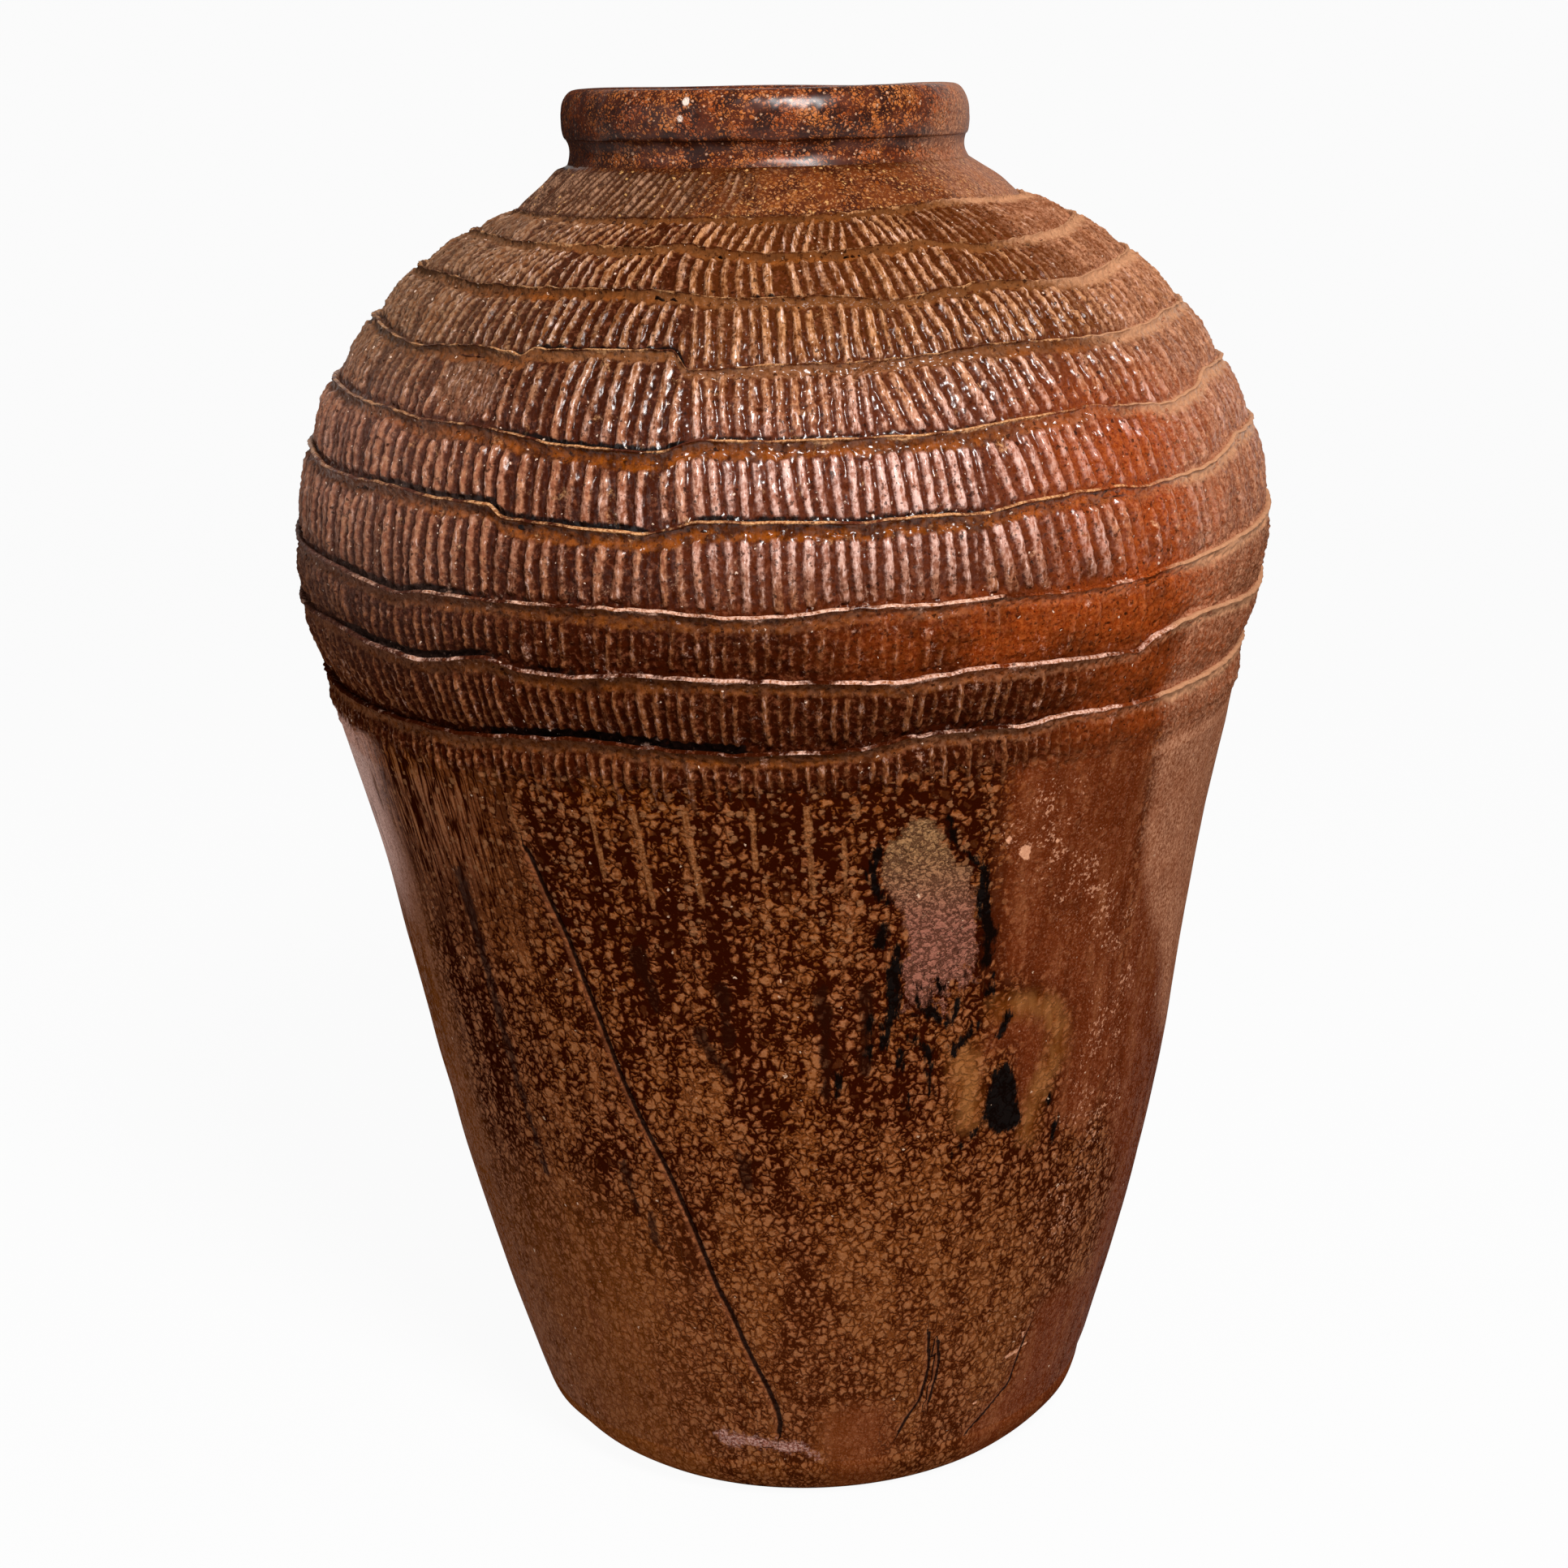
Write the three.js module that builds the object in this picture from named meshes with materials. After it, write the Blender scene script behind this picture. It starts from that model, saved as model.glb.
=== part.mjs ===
// A coil-built storage jar of brown-glazed fired clay, in millimetres, +Z up.
// It stands on the middle of its foot at the origin. Each ring of clay that the potter laid is its own solid.
import * as THREE from 'three';

// Foot: the flat underside and the heel that rounds up into the wall
const FOOT_RADIUS = 94;
const HEEL_SLOPE = 35; // degrees above the floor where the heel leaves it
const FLOOR_THICKNESS = 18;

// Wall: each course sits inside the bevelled lip of the one below, in a bed of slip
const WALL_THICKNESS = 11;
const LAP = 6; // how far a joint runs down from the outside of the wall to its inside
const SLIP_GAP = 0.3;

// Plain courses of the lower wall: their width along it, and each one's flare in degrees, from the heel up
const PLAIN_WIDTH = 45.1;
const PLAIN_FLARES = [16, 14, 11.5, 9.5, 10, 12.5];

// Stamped courses: their usual width along the wall, each one's share of it, and how the wall turns in
const STAMPED_WIDTH = 24;
const STAMPED_SHARES = [0.9, 1, 0.94, 1.15, 1.06, 1.12, 1.1, 0.92, 0.85];
const BELLY_FLARE = 14; // degrees, on the courses below the belly's turn
const COURSES_BELOW_TURN = 2;
const TURN = 11.8; // degrees that each course above leans in from the one below

// Paddled face of a stamped course: upright bars between grooves, with a smooth lip band and a ridge at its top
const LEDGE = 0.9; // ridge left standing outside the bars of the course above it
const BAR_HEIGHT = 1.6;
const LIP_BAND = 5;
const RIDGE_ROUNDING = 1;

// Collar, neck and rolled rim
const COLLAR_RISE = 14.1;
const NECK_RADIUS = 69.7;
const NECK_HOLLOW = 1.2;
const NECK_HEIGHT = 8;
const NECK_WALL = 13;
const RIM_OVERHANG = 3.6;
const RIM_HEIGHT = 17;
const RIM_SWELL_HEIGHT = 10;
const RIM_ROUNDING = 6;

// Fineness of round stretches
const SIDES = 48;
const BARS = SIDES; // main bars round a stamped course, for about every fourth one that the paddle left
const ARC_STEPS = 5;

// Colours of the fired glaze and clay
const BARE_CLAY = { color: 0x7a4a32, roughness: 0.85, metalness: 0 };
const PLAIN_GLAZE = { color: 0x7b4422, roughness: 0.42, metalness: 0 };
const STAMPED_GLAZE = { color: 0x85482c, roughness: 0.36, metalness: 0 };
const RIM_GLAZE = { color: 0x6f3518, roughness: 0.3, metalness: 0 };

const radians = THREE.MathUtils.degToRad;

// Sections are drawn in a half plane: x is the radius and y the height above the floor
const at = (radius, height) => new THREE.Vector2(radius, height);

// Directions on a wall that leans in by an angle: up along it, and square out of it
const up = (lean) => at(-Math.sin(lean), Math.cos(lean));
const out = (lean) => at(Math.cos(lean), Math.sin(lean));

// Points on a curve worked out at even steps from 0 to 1
function curve(place) {
  return Array.from({ length: ARC_STEPS + 1 }, (_, step) => place(step / ARC_STEPS));
}

// Joint where the wall changes its lean: its edge outside and its edge inside, a lap lower
function joint(outer, leanBelow, leanAbove) {
  const lean = (leanBelow + leanAbove) / 2;
  const thickness = WALL_THICKNESS / Math.cos((leanAbove - leanBelow) / 2);
  const inner = outer.clone().addScaledVector(out(lean), -thickness).addScaledVector(up(lean), -LAP);
  return { outer, inner };
}

// Foot of the course that sits on a joint, above the slip and set back from the joint's outer edge
function seat({ outer, inner }, setBack) {
  const slope = outer.clone().sub(inner).normalize();
  const lift = at(-slope.y, slope.x).multiplyScalar(SLIP_GAP);
  return {
    outer: outer.clone().addScaledVector(slope, -setBack).add(lift),
    inner: inner.clone().add(lift),
  };
}

// Heel: an arc over the floor's thickness, from the foot's edge to the lean of the first course
function heelArc(lean) {
  const start = radians(HEEL_SLOPE);
  const end = Math.PI / 2 + lean;
  const rounding = FLOOR_THICKNESS / (Math.cos(start) - Math.cos(end));
  return curve((t) => {
    const slope = THREE.MathUtils.lerp(start, end, t);
    return at(
      FOOT_RADIUS + rounding * (Math.sin(slope) - Math.sin(start)),
      rounding * (Math.cos(start) - Math.cos(slope)),
    );
  });
}

// Sections of the pieces

function baseSection(heel) {
  return [at(0, 0), ...heel, at(0, FLOOR_THICKNESS)];
}

function plainSection(below, above) {
  const foot = seat(below, 0);
  return [foot.outer, above.outer, above.inner, foot.inner];
}

// The paddle presses a groove this far in behind its bars
function stampedSection(below, above, lean, setBack, press) {
  const foot = seat(below, setBack);
  const lipFoot = above.outer.clone().addScaledVector(up(lean), -LIP_BAND).addScaledVector(out(lean), -press);
  const ridgeFoot = above.outer.clone().addScaledVector(up(lean), -RIDGE_ROUNDING);
  const bevel = above.inner.clone().sub(above.outer).setLength(RIDGE_ROUNDING);
  return [foot.outer, lipFoot, ridgeFoot, above.outer.clone().add(bevel), above.inner, foot.inner];
}

function collarSection(below, above) {
  const foot = seat(below, LEDGE + BAR_HEIGHT);
  return [foot.outer, above.outer, above.inner, foot.inner];
}

function neckSection(below, top, mouthRadius) {
  const foot = seat(below, 0);
  const waist = curve((t) => at(
    NECK_RADIUS + NECK_HOLLOW * (2 * t - 1) ** 2,
    THREE.MathUtils.lerp(foot.outer.y, top, t),
  ));
  return [...waist, at(mouthRadius, top), foot.inner];
}

function rimSection(bottom, mouthRadius) {
  const top = bottom + RIM_HEIGHT;
  const rootRadius = NECK_RADIUS + NECK_HOLLOW;
  const rimRadius = NECK_RADIUS + RIM_OVERHANG;
  const rounding = Math.min(RIM_ROUNDING, (rimRadius - mouthRadius) / 3, RIM_HEIGHT - RIM_SWELL_HEIGHT);
  const swell = curve((t) => at(
    THREE.MathUtils.lerp(rootRadius, rimRadius, Math.sin(t * Math.PI / 2)),
    bottom + RIM_SWELL_HEIGHT * (1 - Math.cos(t * Math.PI / 2)),
  ));
  const outerEdge = curve((t) => at(
    rimRadius - rounding * (1 - Math.cos(t * Math.PI / 2)),
    top - rounding * (1 - Math.sin(t * Math.PI / 2)),
  ));
  const innerEdge = curve((t) => at(
    mouthRadius + rounding * (1 - Math.sin(t * Math.PI / 2)),
    top - rounding * (1 - Math.cos(t * Math.PI / 2)),
  ));
  return [...swell, ...outerEdge, ...innerEdge, at(mouthRadius, bottom)];
}

// A geometry as one named piece, stood up from three.js's upright Y to the jar's Z
function piece(name, geometry, finish) {
  geometry.rotateX(Math.PI / 2);
  const mesh = new THREE.Mesh(geometry, new THREE.MeshStandardMaterial(finish));
  mesh.name = name;
  return mesh;
}

// A closed section turned about the jar's axis
function turned(section, sides = SIDES) {
  return new THREE.LatheGeometry([...section, section[0]], sides);
}

// A ring whose section goes from bar to groove and back, side by side round the jar
function paddled(bar, groove) {
  const ring = turned(bar, 2 * BARS);
  const pressed = turned(groove, 2 * BARS);
  const corners = bar.length + 1;
  for (let side = 1; side < 2 * BARS; side += 2) {
    for (let corner = side * corners; corner < (side + 1) * corners; corner += 1) {
      ring.attributes.position.copyAt(corner, pressed.attributes.position, corner);
    }
  }
  ring.computeVertexNormals();
  return ring;
}

// Leans of all courses, from the heel to the last stamped one
const plainLeans = PLAIN_FLARES.map((flare) => radians(-flare));
const stampedLeans = STAMPED_SHARES.map((_, index) =>
  radians(Math.max(0, index + 1 - COURSES_BELOW_TURN) * TURN - BELLY_FLARE));
const leans = [...plainLeans, ...stampedLeans];
const widths = [...PLAIN_FLARES.map(() => PLAIN_WIDTH), ...STAMPED_SHARES.map((share) => share * STAMPED_WIDTH)];

// Outer edges of the joints: each course carries the next along its lean
const heel = heelArc(leans[0]);
const edges = [heel.at(-1)];
widths.forEach((width, index) => edges.push(edges[index].clone().addScaledVector(up(leans[index]), width)));

// Neck: its foot lies where the collar ends
const mouthRadius = NECK_RADIUS - NECK_WALL;
const neckFoot = at(NECK_RADIUS + NECK_HOLLOW, edges.at(-1).y + COLLAR_RISE);
const collarLean = Math.atan2(edges.at(-1).x - neckFoot.x, COLLAR_RISE);
const neckJoint = { outer: neckFoot, inner: at(mouthRadius, neckFoot.y - LAP) };
const neckTop = neckFoot.y + NECK_HEIGHT;

// Joints: the first course stands flat on the floor's edge
const joints = edges.map((edge, index) => joint(edge, leans[index - 1] ?? leans[0], leans[index] ?? collarLean));
const insideStart = edges[0].clone().addScaledVector(out(leans[0]), -WALL_THICKNESS);
const toFloor = (FLOOR_THICKNESS - insideStart.y) / Math.cos(leans[0]);
joints[0].inner = insideStart.addScaledVector(up(leans[0]), toFloor);

const jar = new THREE.Group();
jar.add(piece('base_disc', turned(baseSection(heel)), BARE_CLAY));

leans.forEach((lean, index) => {
  const below = joints[index];
  const above = joints[index + 1];
  const stampedNumber = index - PLAIN_FLARES.length + 1;
  if (stampedNumber < 1) {
    jar.add(piece(`lower_course_${index + 1}`, turned(plainSection(below, above)), PLAIN_GLAZE));
    return;
  }
  // The first stamped course runs smoothly out of the plain wall, with no ridge or groove at its foot
  const lowest = stampedNumber === 1;
  const bar = stampedSection(below, above, lean, lowest ? 0 : LEDGE, 0);
  const groove = stampedSection(below, above, lean, lowest ? 0 : LEDGE + BAR_HEIGHT, BAR_HEIGHT);
  jar.add(piece(`stamped_course_${stampedNumber}`, paddled(bar, groove), STAMPED_GLAZE));
});

jar.add(piece('shoulder_collar', turned(collarSection(joints.at(-1), neckJoint)), PLAIN_GLAZE));
jar.add(piece('neck_ring', turned(neckSection(neckJoint, neckTop, mouthRadius)), RIM_GLAZE));
jar.add(piece('rim_roll', turned(rimSection(neckTop + SLIP_GAP, mouthRadius)), RIM_GLAZE));

export default jar;
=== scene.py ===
"""A coil-built storage jar of brown-glazed clay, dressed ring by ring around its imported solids.

The scene is in metres. Marks in the clay are written in millimetres, and places round the jar in degrees from
its front, with the right-hand side positive.
"""

import math

import bmesh
import bpy
import numpy as np
from mathutils import Matrix, Vector


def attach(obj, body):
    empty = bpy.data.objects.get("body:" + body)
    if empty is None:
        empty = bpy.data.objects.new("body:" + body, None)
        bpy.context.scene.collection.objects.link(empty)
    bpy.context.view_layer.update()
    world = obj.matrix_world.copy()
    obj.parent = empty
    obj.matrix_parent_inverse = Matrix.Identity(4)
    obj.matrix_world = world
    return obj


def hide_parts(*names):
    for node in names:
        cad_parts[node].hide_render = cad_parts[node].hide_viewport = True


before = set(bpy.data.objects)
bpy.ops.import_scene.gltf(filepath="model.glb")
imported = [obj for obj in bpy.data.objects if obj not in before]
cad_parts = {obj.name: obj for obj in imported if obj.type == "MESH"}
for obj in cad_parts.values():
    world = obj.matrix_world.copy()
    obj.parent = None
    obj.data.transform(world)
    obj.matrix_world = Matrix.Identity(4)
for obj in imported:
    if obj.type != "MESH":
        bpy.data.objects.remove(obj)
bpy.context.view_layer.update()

MM = 0.001

# In millimetres: corners of a packed ring this near its top or bottom belong to it, and corners of a turned
# piece this near each other are merged
END_REACH = 0.05
MERGE_REACH = 0.001

# Fineness of the turned pieces: columns round the jar, rows along each stretch of a section, and the angle in
# degrees from which an edge is sharp
SPIN_STEPS = 72
COURSE_SIDES = 1800
PLAIN_SIDES = 720
COURSE_ROWS = (24, 8, 4, 3, 0, 2)
WALL_ROWS = (122, 0, 8)
FOOT_ROWS = (6, 16, 2)
COLLAR_ROWS = (20, 0, 2)
NECK_ROWS = (14, 0, 4)
RIM_ROWS = (10, 14, 3, 6, 2)
SHARP_ANGLE = 58

# Paddled face of a course: how deep its parts lie behind the line from ridge to ridge
WALL_THICKNESS = 11
RIDGE_ROUNDING = 1.1
LIP_BAND = 4.6
LIP_DEPTH = 1.9
LEDGE = 3.2
LOWEST_LEDGE = 0.3
LEDGE_RUN = 5.5
LEDGE_FALL = 0.45
FACE_SWELL = 1.5
FOOT_TUCK = 3
POOL_HEIGHT = 2.4
POOL_FILL = 0.7
BAR_HEIGHT = 1.5
BAR_HOOK = 0.15
PADDLE_PRESS = 0.45

# How many different bars are drawn by chance for each course
BAR_KINDS = 211

# Sine waves summed for the unevenness of hand work, and what their sum is divided by
WAVE_COUNT = 14
WAVE_DIVISOR = 4

# How crisp the ridges are round the jar: softened by dust and thick glaze on the right
CRISPNESS = [(-80, 1), (-50, 1), (28, 1), (44, 0.75), (75, 0.75), (110, 0.75), (180, 1), (-130, 0.9)]

# Waves of each stamped course's ridge in front, from the lowest course up: degrees, millimetres
RIDGE_WAVES = [
    [(-75, 0), (-42, -1.4), (-38, -1.4), (-30, 0.6), (-22, 1.6), (-12, -0.9), (-5, -2.4), (-3.5, -2.2),
     (8, -2.2), (13, 1.1), (22, 1.1), (26, -0.4), (32, 1.1), (43, -0.9), (75, 1)],
    [(-75, 4), (-60, 4.9), (-53, 2.4), (-46, 0.9), (-42, -0.1), (-38, 1.4), (-33, 4.4), (-28, 0.9),
     (-22, -0.1), (-16, 1.4), (-5, -0.1), (0, -1.1), (12, -3.1), (20, -1.1), (30, -2.6), (38, -4.1),
     (41, -5.1), (43, -1.1), (48, 1.4), (52, 2.4), (60, 1.4), (70, -1.1)],
    [(-75, 4), (-65, 3.5), (-58, 2.5), (-50, 0.5), (-45, -1), (-40, 1), (-30, 0.5), (-20, 0.5), (-12, -0.5),
     (-6, -2.5), (0, -2.5), (7, -0.5), (15, -1.5), (22, -1), (30, -2.5), (38, -2.5), (60, 1.5), (75, 3)],
    [(-75, 8.5), (-65, 6), (-55, 5.5), (-48, 5.5), (-40, 3.5), (-32, 3), (-30.5, -0.5), (-22, -2.5),
     (-14, -4), (-11, -2.5), (-9, -0.5), (0, -1.2), (8, -2.3), (15, -1.5), (21, -2.5), (25, -0.5),
     (32, 0.5), (37, 0.5), (42, -1), (54, 0.5), (60, 3), (65, 6.5), (75, 6.5)],
    [(-75, 7.9), (-65, 6.3), (-60, 5.7), (-52, 4.9), (-45, 2.9), (-36, 2.4), (-30, 0.4), (-25, -2.1),
     (-18, -3.1), (-13, -4.1), (-11, -2.6), (-9, -0.6), (0, -1.3), (12, -1.6), (20, -1.6), (25, -0.1),
     (33, 0.9), (38, 1.4), (45, -0.1), (52, -1.6), (60, 0.9), (65, 4.9), (75, 4.9)],
    [(-75, 6.4), (-53, 1.4), (-46, 2.4), (-40, 2.8), (-35, 1.6), (-32.5, 0.2), (-31.3, 2.7), (-12, 2.5),
     (-10.2, -3.4), (0, -2.2), (10, -2.7), (20, -1.6), (25, -0.2), (30, -0.2), (40, -1.2), (50, -1.2),
     (58, -0.2), (65, 2), (75, 2)],
    [(-75, 3.9), (-60, 3.5), (-50, 1.7), (-40, 1.4), (-30, 1), (-20, 0.9), (-13, 0), (-10, -1.1), (-5, -2.1),
     (10, -2.5), (15, -4.7), (20, -3.6), (25, -2.2), (33, -1.1), (45, -2.9), (50, -2.9), (65, 0), (75, 1)],
    [(-75, 2.8), (-60, 2.4), (-50, 1.3), (-35, 1), (-20, 0.3), (-15, 1.2), (-5, -1.2), (0, -2.2), (10, -2.2),
     (20, -1.2), (26, -0.3), (29, -1.6), (35, -3), (60, -1), (75, 1)],
    [(-75, 1), (-40, 0.6), (-10, 0.2), (12, 0.2), (25, 1.1), (35, 1.7), (40, 2.4), (60, 1.6), (75, 1)],
]

# Blows of the paddle in front on each course: left edge and spacing of the bars in degrees, and lean in bars
BLOWS = [
    [(-64, 1.4, 0), (-42, 1.4, 0), (-12, 1.4, 0), (13, 1.4, 0), (36, 1.5, 0), (62, 1.5, 0)],
    [(-52, 1.4, -0.2), (-30, 1.4, -0.2), (-4, 1.4, 0), (12, 1.4, 0), (40, 1.5, 0.2), (66, 1.5, 0.2)],
    [(-54, 1.5, -0.3), (-22, 1.35, -0.3), (8, 1.5, 0), (33, 1.6, 0.2), (58, 1.6, 0.2)],
    [(-66, 1.9, -0.4), (-45, 1.95, -0.4), (-13, 1.6, 0), (20, 2, 1), (42, 2, 0.8), (60, 2, 0.5)],
    [(-56, 1.95, -0.5), (-30, 2, -0.5), (-13, 1.6, 0.1), (22, 2.05, 0.8), (40, 2, 0.8), (57, 2, 0.5)],
    [(-62, 1.9, -0.6), (-46.5, 2, -0.5), (-32.3, 2.05, -0.7), (-10.3, 1.6, 0), (11, 2.1, 1.3), (36, 2, 0.9),
     (58, 2, 0.6)],
    [(-58, 1.9, -0.9), (-32, 2.05, -1.2), (-10.5, 1.9, 0), (15, 2, 0.85), (38, 1.9, 0.8), (60, 1.9, 0.6)],
    [(-58, 1.9, -2.4), (-34, 2, -1.1), (-15, 2.2, 0), (2, 2.2, 0.5), (29, 2, 1), (60, 2, 1)],
    [(-52, 2.1, -2.4), (-20, 2.1, -1.5), (14, 2.1, 1), (44, 2.1, 1.2), (70, 2.1, 1)],
]

# How strongly each course was stamped round the jar, where 1 is a full blow
STAMP_STRENGTHS = [
    [(-70, 0.5), (-35, 0.8), (0, 0.9), (25, 0.7), (38, 0.25), (60, 0.1), (120, 0.5)],
    [(-70, 0.8), (-30, 0.9), (10, 0.8), (30, 0.55), (45, 0.25), (75, 0.15), (130, 0.7)],
    [(-70, 0.8), (-20, 0.7), (0, 0.6), (12, 0.5), (45, 0.45), (70, 0.35), (120, 0.6)],
    [(-60, 1), (25, 0.95), (45, 0.7), (60, 0.55), (80, 0.5), (130, 0.9)],
    [(-60, 1), (36, 1), (46, 0.75), (62, 0.65), (80, 0.6), (130, 0.9)],
    [(-60, 0.9), (33, 0.95), (40, 0.75), (65, 0.65), (80, 0.6), (130, 0.9)],
    [(-60, 0.9), (30, 0.9), (45, 0.75), (70, 0.65), (130, 0.9)],
    [(-60, 0.9), (25, 0.85), (38, 0.5), (70, 0.45), (130, 0.8)],
    [(-60, 0.8), (20, 0.8), (35, 0.45), (70, 0.4), (130, 0.7)],
]

# Black glaze pooled at the foot of each course, from 0 to 1
POOLS = [
    [(-20, 0), (-9, 0.5), (-4, 0.6), (-1, 0)],
    [(-42, 0), (-33, 0.8), (-20, 1), (-5, 1), (-3, 0), (10, 0.2), (22, 0.5), (30, 0.2), (40, 0)],
    [(-62, 0.2), (-55, 1), (-36, 1), (-30, 0.3), (-25, 0.7), (-18, 0.2), (0, 0.2), (20, 0.15), (40, 0)],
    [(-64, 0.5), (-55, 0.9), (-40, 1), (-33, 0.5), (-15, 0.4), (0, 0.25), (20, 0.2), (40, 0)],
    [(-60, 0.4), (-45, 1), (-31, 1), (-29, 0.7), (-15, 1), (-12, 0.1), (-8, 0.8), (0, 0.7), (20, 0.6),
     (28, 0.2), (40, 0)],
    [(-60, 0.2), (-34, 0.4), (-28, 1), (-10.5, 1), (-9.5, 0.2), (-6, 0.7), (10, 0.6), (25, 0.5), (35, 0)],
    [(-60, 0.2), (-40, 0.3), (-28, 1), (-11, 1), (-10, 0.3), (10, 0.35), (20, 0.5), (28, 0.2), (40, 0)],
    [(-70, 0.4), (-50, 0.5), (-30, 0.6), (-10, 0.8), (5, 0.9), (25, 0.5), (35, 0)],
    [(-60, 0.3), (-30, 0.6), (-15, 1), (5, 0.7), (25, 0.5), (35, 0)],
]
POOLS_BEHIND = [(110, 0.1), (150, 0.6), (180, 0.7), (-140, 0.6), (-100, 0.4)]

# Pale wear along each course's ridge, where 1 is a broad rubbed band
RIDGE_WEAR = [
    [(-60, 0.05), (-10, 0.1), (0, 0.2), (24, 0.3), (27, 1.1), (36, 1.1), (40, 0.4), (70, 0.3)],
    [(-60, 0.3), (-35, 0.6), (-20, 0.4), (-12, 0.5), (-9, 1.3), (6, 0.9), (11, 1.6), (27, 1.9), (33, 0.8),
     (60, 0.5)],
    [(-60, 0.2), (-20, 0.5), (-15, 1.4), (8, 1.2), (20, 0.7), (26, 0.3), (60, 0.4)],
    [(-60, 0.6), (-15, 0.7), (0, 0.7), (25, 0.8), (45, 0.5), (60, 0.7)],
    [(-60, 0.6), (-15, 0.6), (0, 0.9), (26, 1), (35, 0.5), (60, 0.7)],
    [(-60, 0.6), (-33, 0.7), (0, 0.6), (20, 0.5), (60, 0.7)],
    [(-60, 0.6), (-10, 0.5), (20, 0.6), (60, 0.6)],
    [(-60, 0.6), (-15, 0.7), (20, 0.5), (60, 0.5)],
    [(-60, 0.3), (0, 0.4), (30, 0.6), (60, 0.3)],
]

# How amber the smooth lip under each ridge is, where 0 is a pinkish brown
AMBER_LIPS = [
    [(-60, 0.7), (0, 0.9), (40, 0.5)],
    [(-60, 0.7), (-20, 0.9), (10, 0.8), (40, 0.5)],
    [(-60, 0.7), (-20, 0.9), (10, 0.8), (25, 0.6), (50, 0.3)],
    [(-60, 0.5), (-30, 0.9), (0, 1), (25, 0.9), (40, 0.6), (60, 0.3)],
    [(-60, 0.5), (-35, 0.9), (-15, 1), (-5, 0.9), (20, 0.9), (32, 0.7), (45, 0.3)],
    [(-60, 0.4), (-45, 0.7), (-33, 0.6), (-28, 0.25), (-12, 0.2), (0, 0.15), (25, 0.4), (38, 0.7), (50, 0.3)],
    [(-60, 0.3), (-40, 0.8), (-25, 0.6), (-10, 0.3), (0, 0.25), (15, 0.3), (30, 0.4), (50, 0.2)],
    [(-60, 0.3), (-20, 0.4), (0, 0.6), (20, 0.5), (40, 0.2)],
    [(-60, 0.2), (0, 0.6), (20, 0.5), (40, 0.2)],
]

# How dark the glaze lies in the grooves round the jar: on the few low courses, and on those above
LOW_COURSES = 3
DARK_GROOVES_LOW = [(-80, 0.8), (-50, 0.95), (26, 0.95), (38, 0.4), (48, 0.1), (110, 0.3), (180, 0.8),
                    (-130, 0.8)]
DARK_GROOVES_HIGH = [(-80, 0.6), (-50, 0.8), (-30, 0.9), (-12, 0.85), (-8, 0.55), (10, 0.5), (26, 0.6),
                     (40, 0.35), (70, 0.05), (110, 0.3), (180, 0.7), (-130, 0.7)]

# A scar drawn across the sixth course: degrees and share of the course's width, which is in millimetres
SCARRED_COURSE = 6
SCARRED_WIDTH = 26
SCAR = [(13.8, 1.0), (10.5, 0.86), (7, 0.66), (3.5, 0.43), (1, 0.38), (-2.5, 0.4)]

# Thumb-smoothed scoops: course, middle in degrees, half width in degrees, depth in millimetres
SCOOPS = [(6, -40, 6.5, 0.9), (6, 140, 7, 0.9)]

# Marks on the lower wall as places of degrees and height
CRACK = [(-32.5, 262), (-31, 245), (-29.5, 232), (-28, 215), (-26.5, 200), (-25, 182), (-23, 165),
         (-20.5, 148), (-19, 136), (-17, 120), (-15.7, 108), (-14.5, 97), (-13, 88), (-11.5, 76), (-10, 66),
         (-8, 55), (-6.5, 45), (-6, 38), (-6.4, 32)]
CREASE_FAINTNESS = 0.45
CREASES = [
    [(19.5, 73), (20.5, 57), (19.6, 42), (17.2, 34), (16, 28)],
    [(21.5, 68), (22.3, 58), (22.1, 50), (21.4, 40)],
    [(41.5, 58), (40.6, 46), (40, 36), (36.9, 30), (32.7, 22), (31.3, 19)],
]
BARE_PATCH = [(15.5, 275), (17.2, 269), (18.4, 263), (19.5, 258), (22, 253), (21.7, 243), (22.8, 234),
              (23.2, 224), (23, 212), (22, 219), (21.2, 206), (20.2, 216), (18.6, 202), (17.4, 214),
              (15.8, 201), (15, 216), (13.6, 204), (13.4, 219), (13.6, 231), (12.5, 243), (11.3, 249),
              (10.3, 253), (10.5, 262), (11.5, 268), (13.2, 273)]
TEARDROP = [(27.8, 180), (29.4, 176), (30.4, 166), (31.7, 156), (31, 152), (27.2, 152), (24.7, 159),
            (25.7, 170), (26.5, 178)]
CALM_PATCHES = [
    [(25, 290), (48, 300), (50, 215), (52, 165), (45, 140), (38, 150), (39, 190), (33, 205), (26, 215)],
    [(24, 184), (27, 197), (31, 199), (35, 192), (36, 182), (33.5, 168), (32, 156), (29, 184)],
    [(42, 70), (41.5, 58), (40.6, 46), (40, 36), (36.9, 30), (32.7, 22), (31.3, 14), (60, 14), (62, 70)],
    [(0.5, 40), (6, 44), (12.5, 42), (14, 30), (13, 14), (4, 14), (0, 24)],
]

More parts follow.
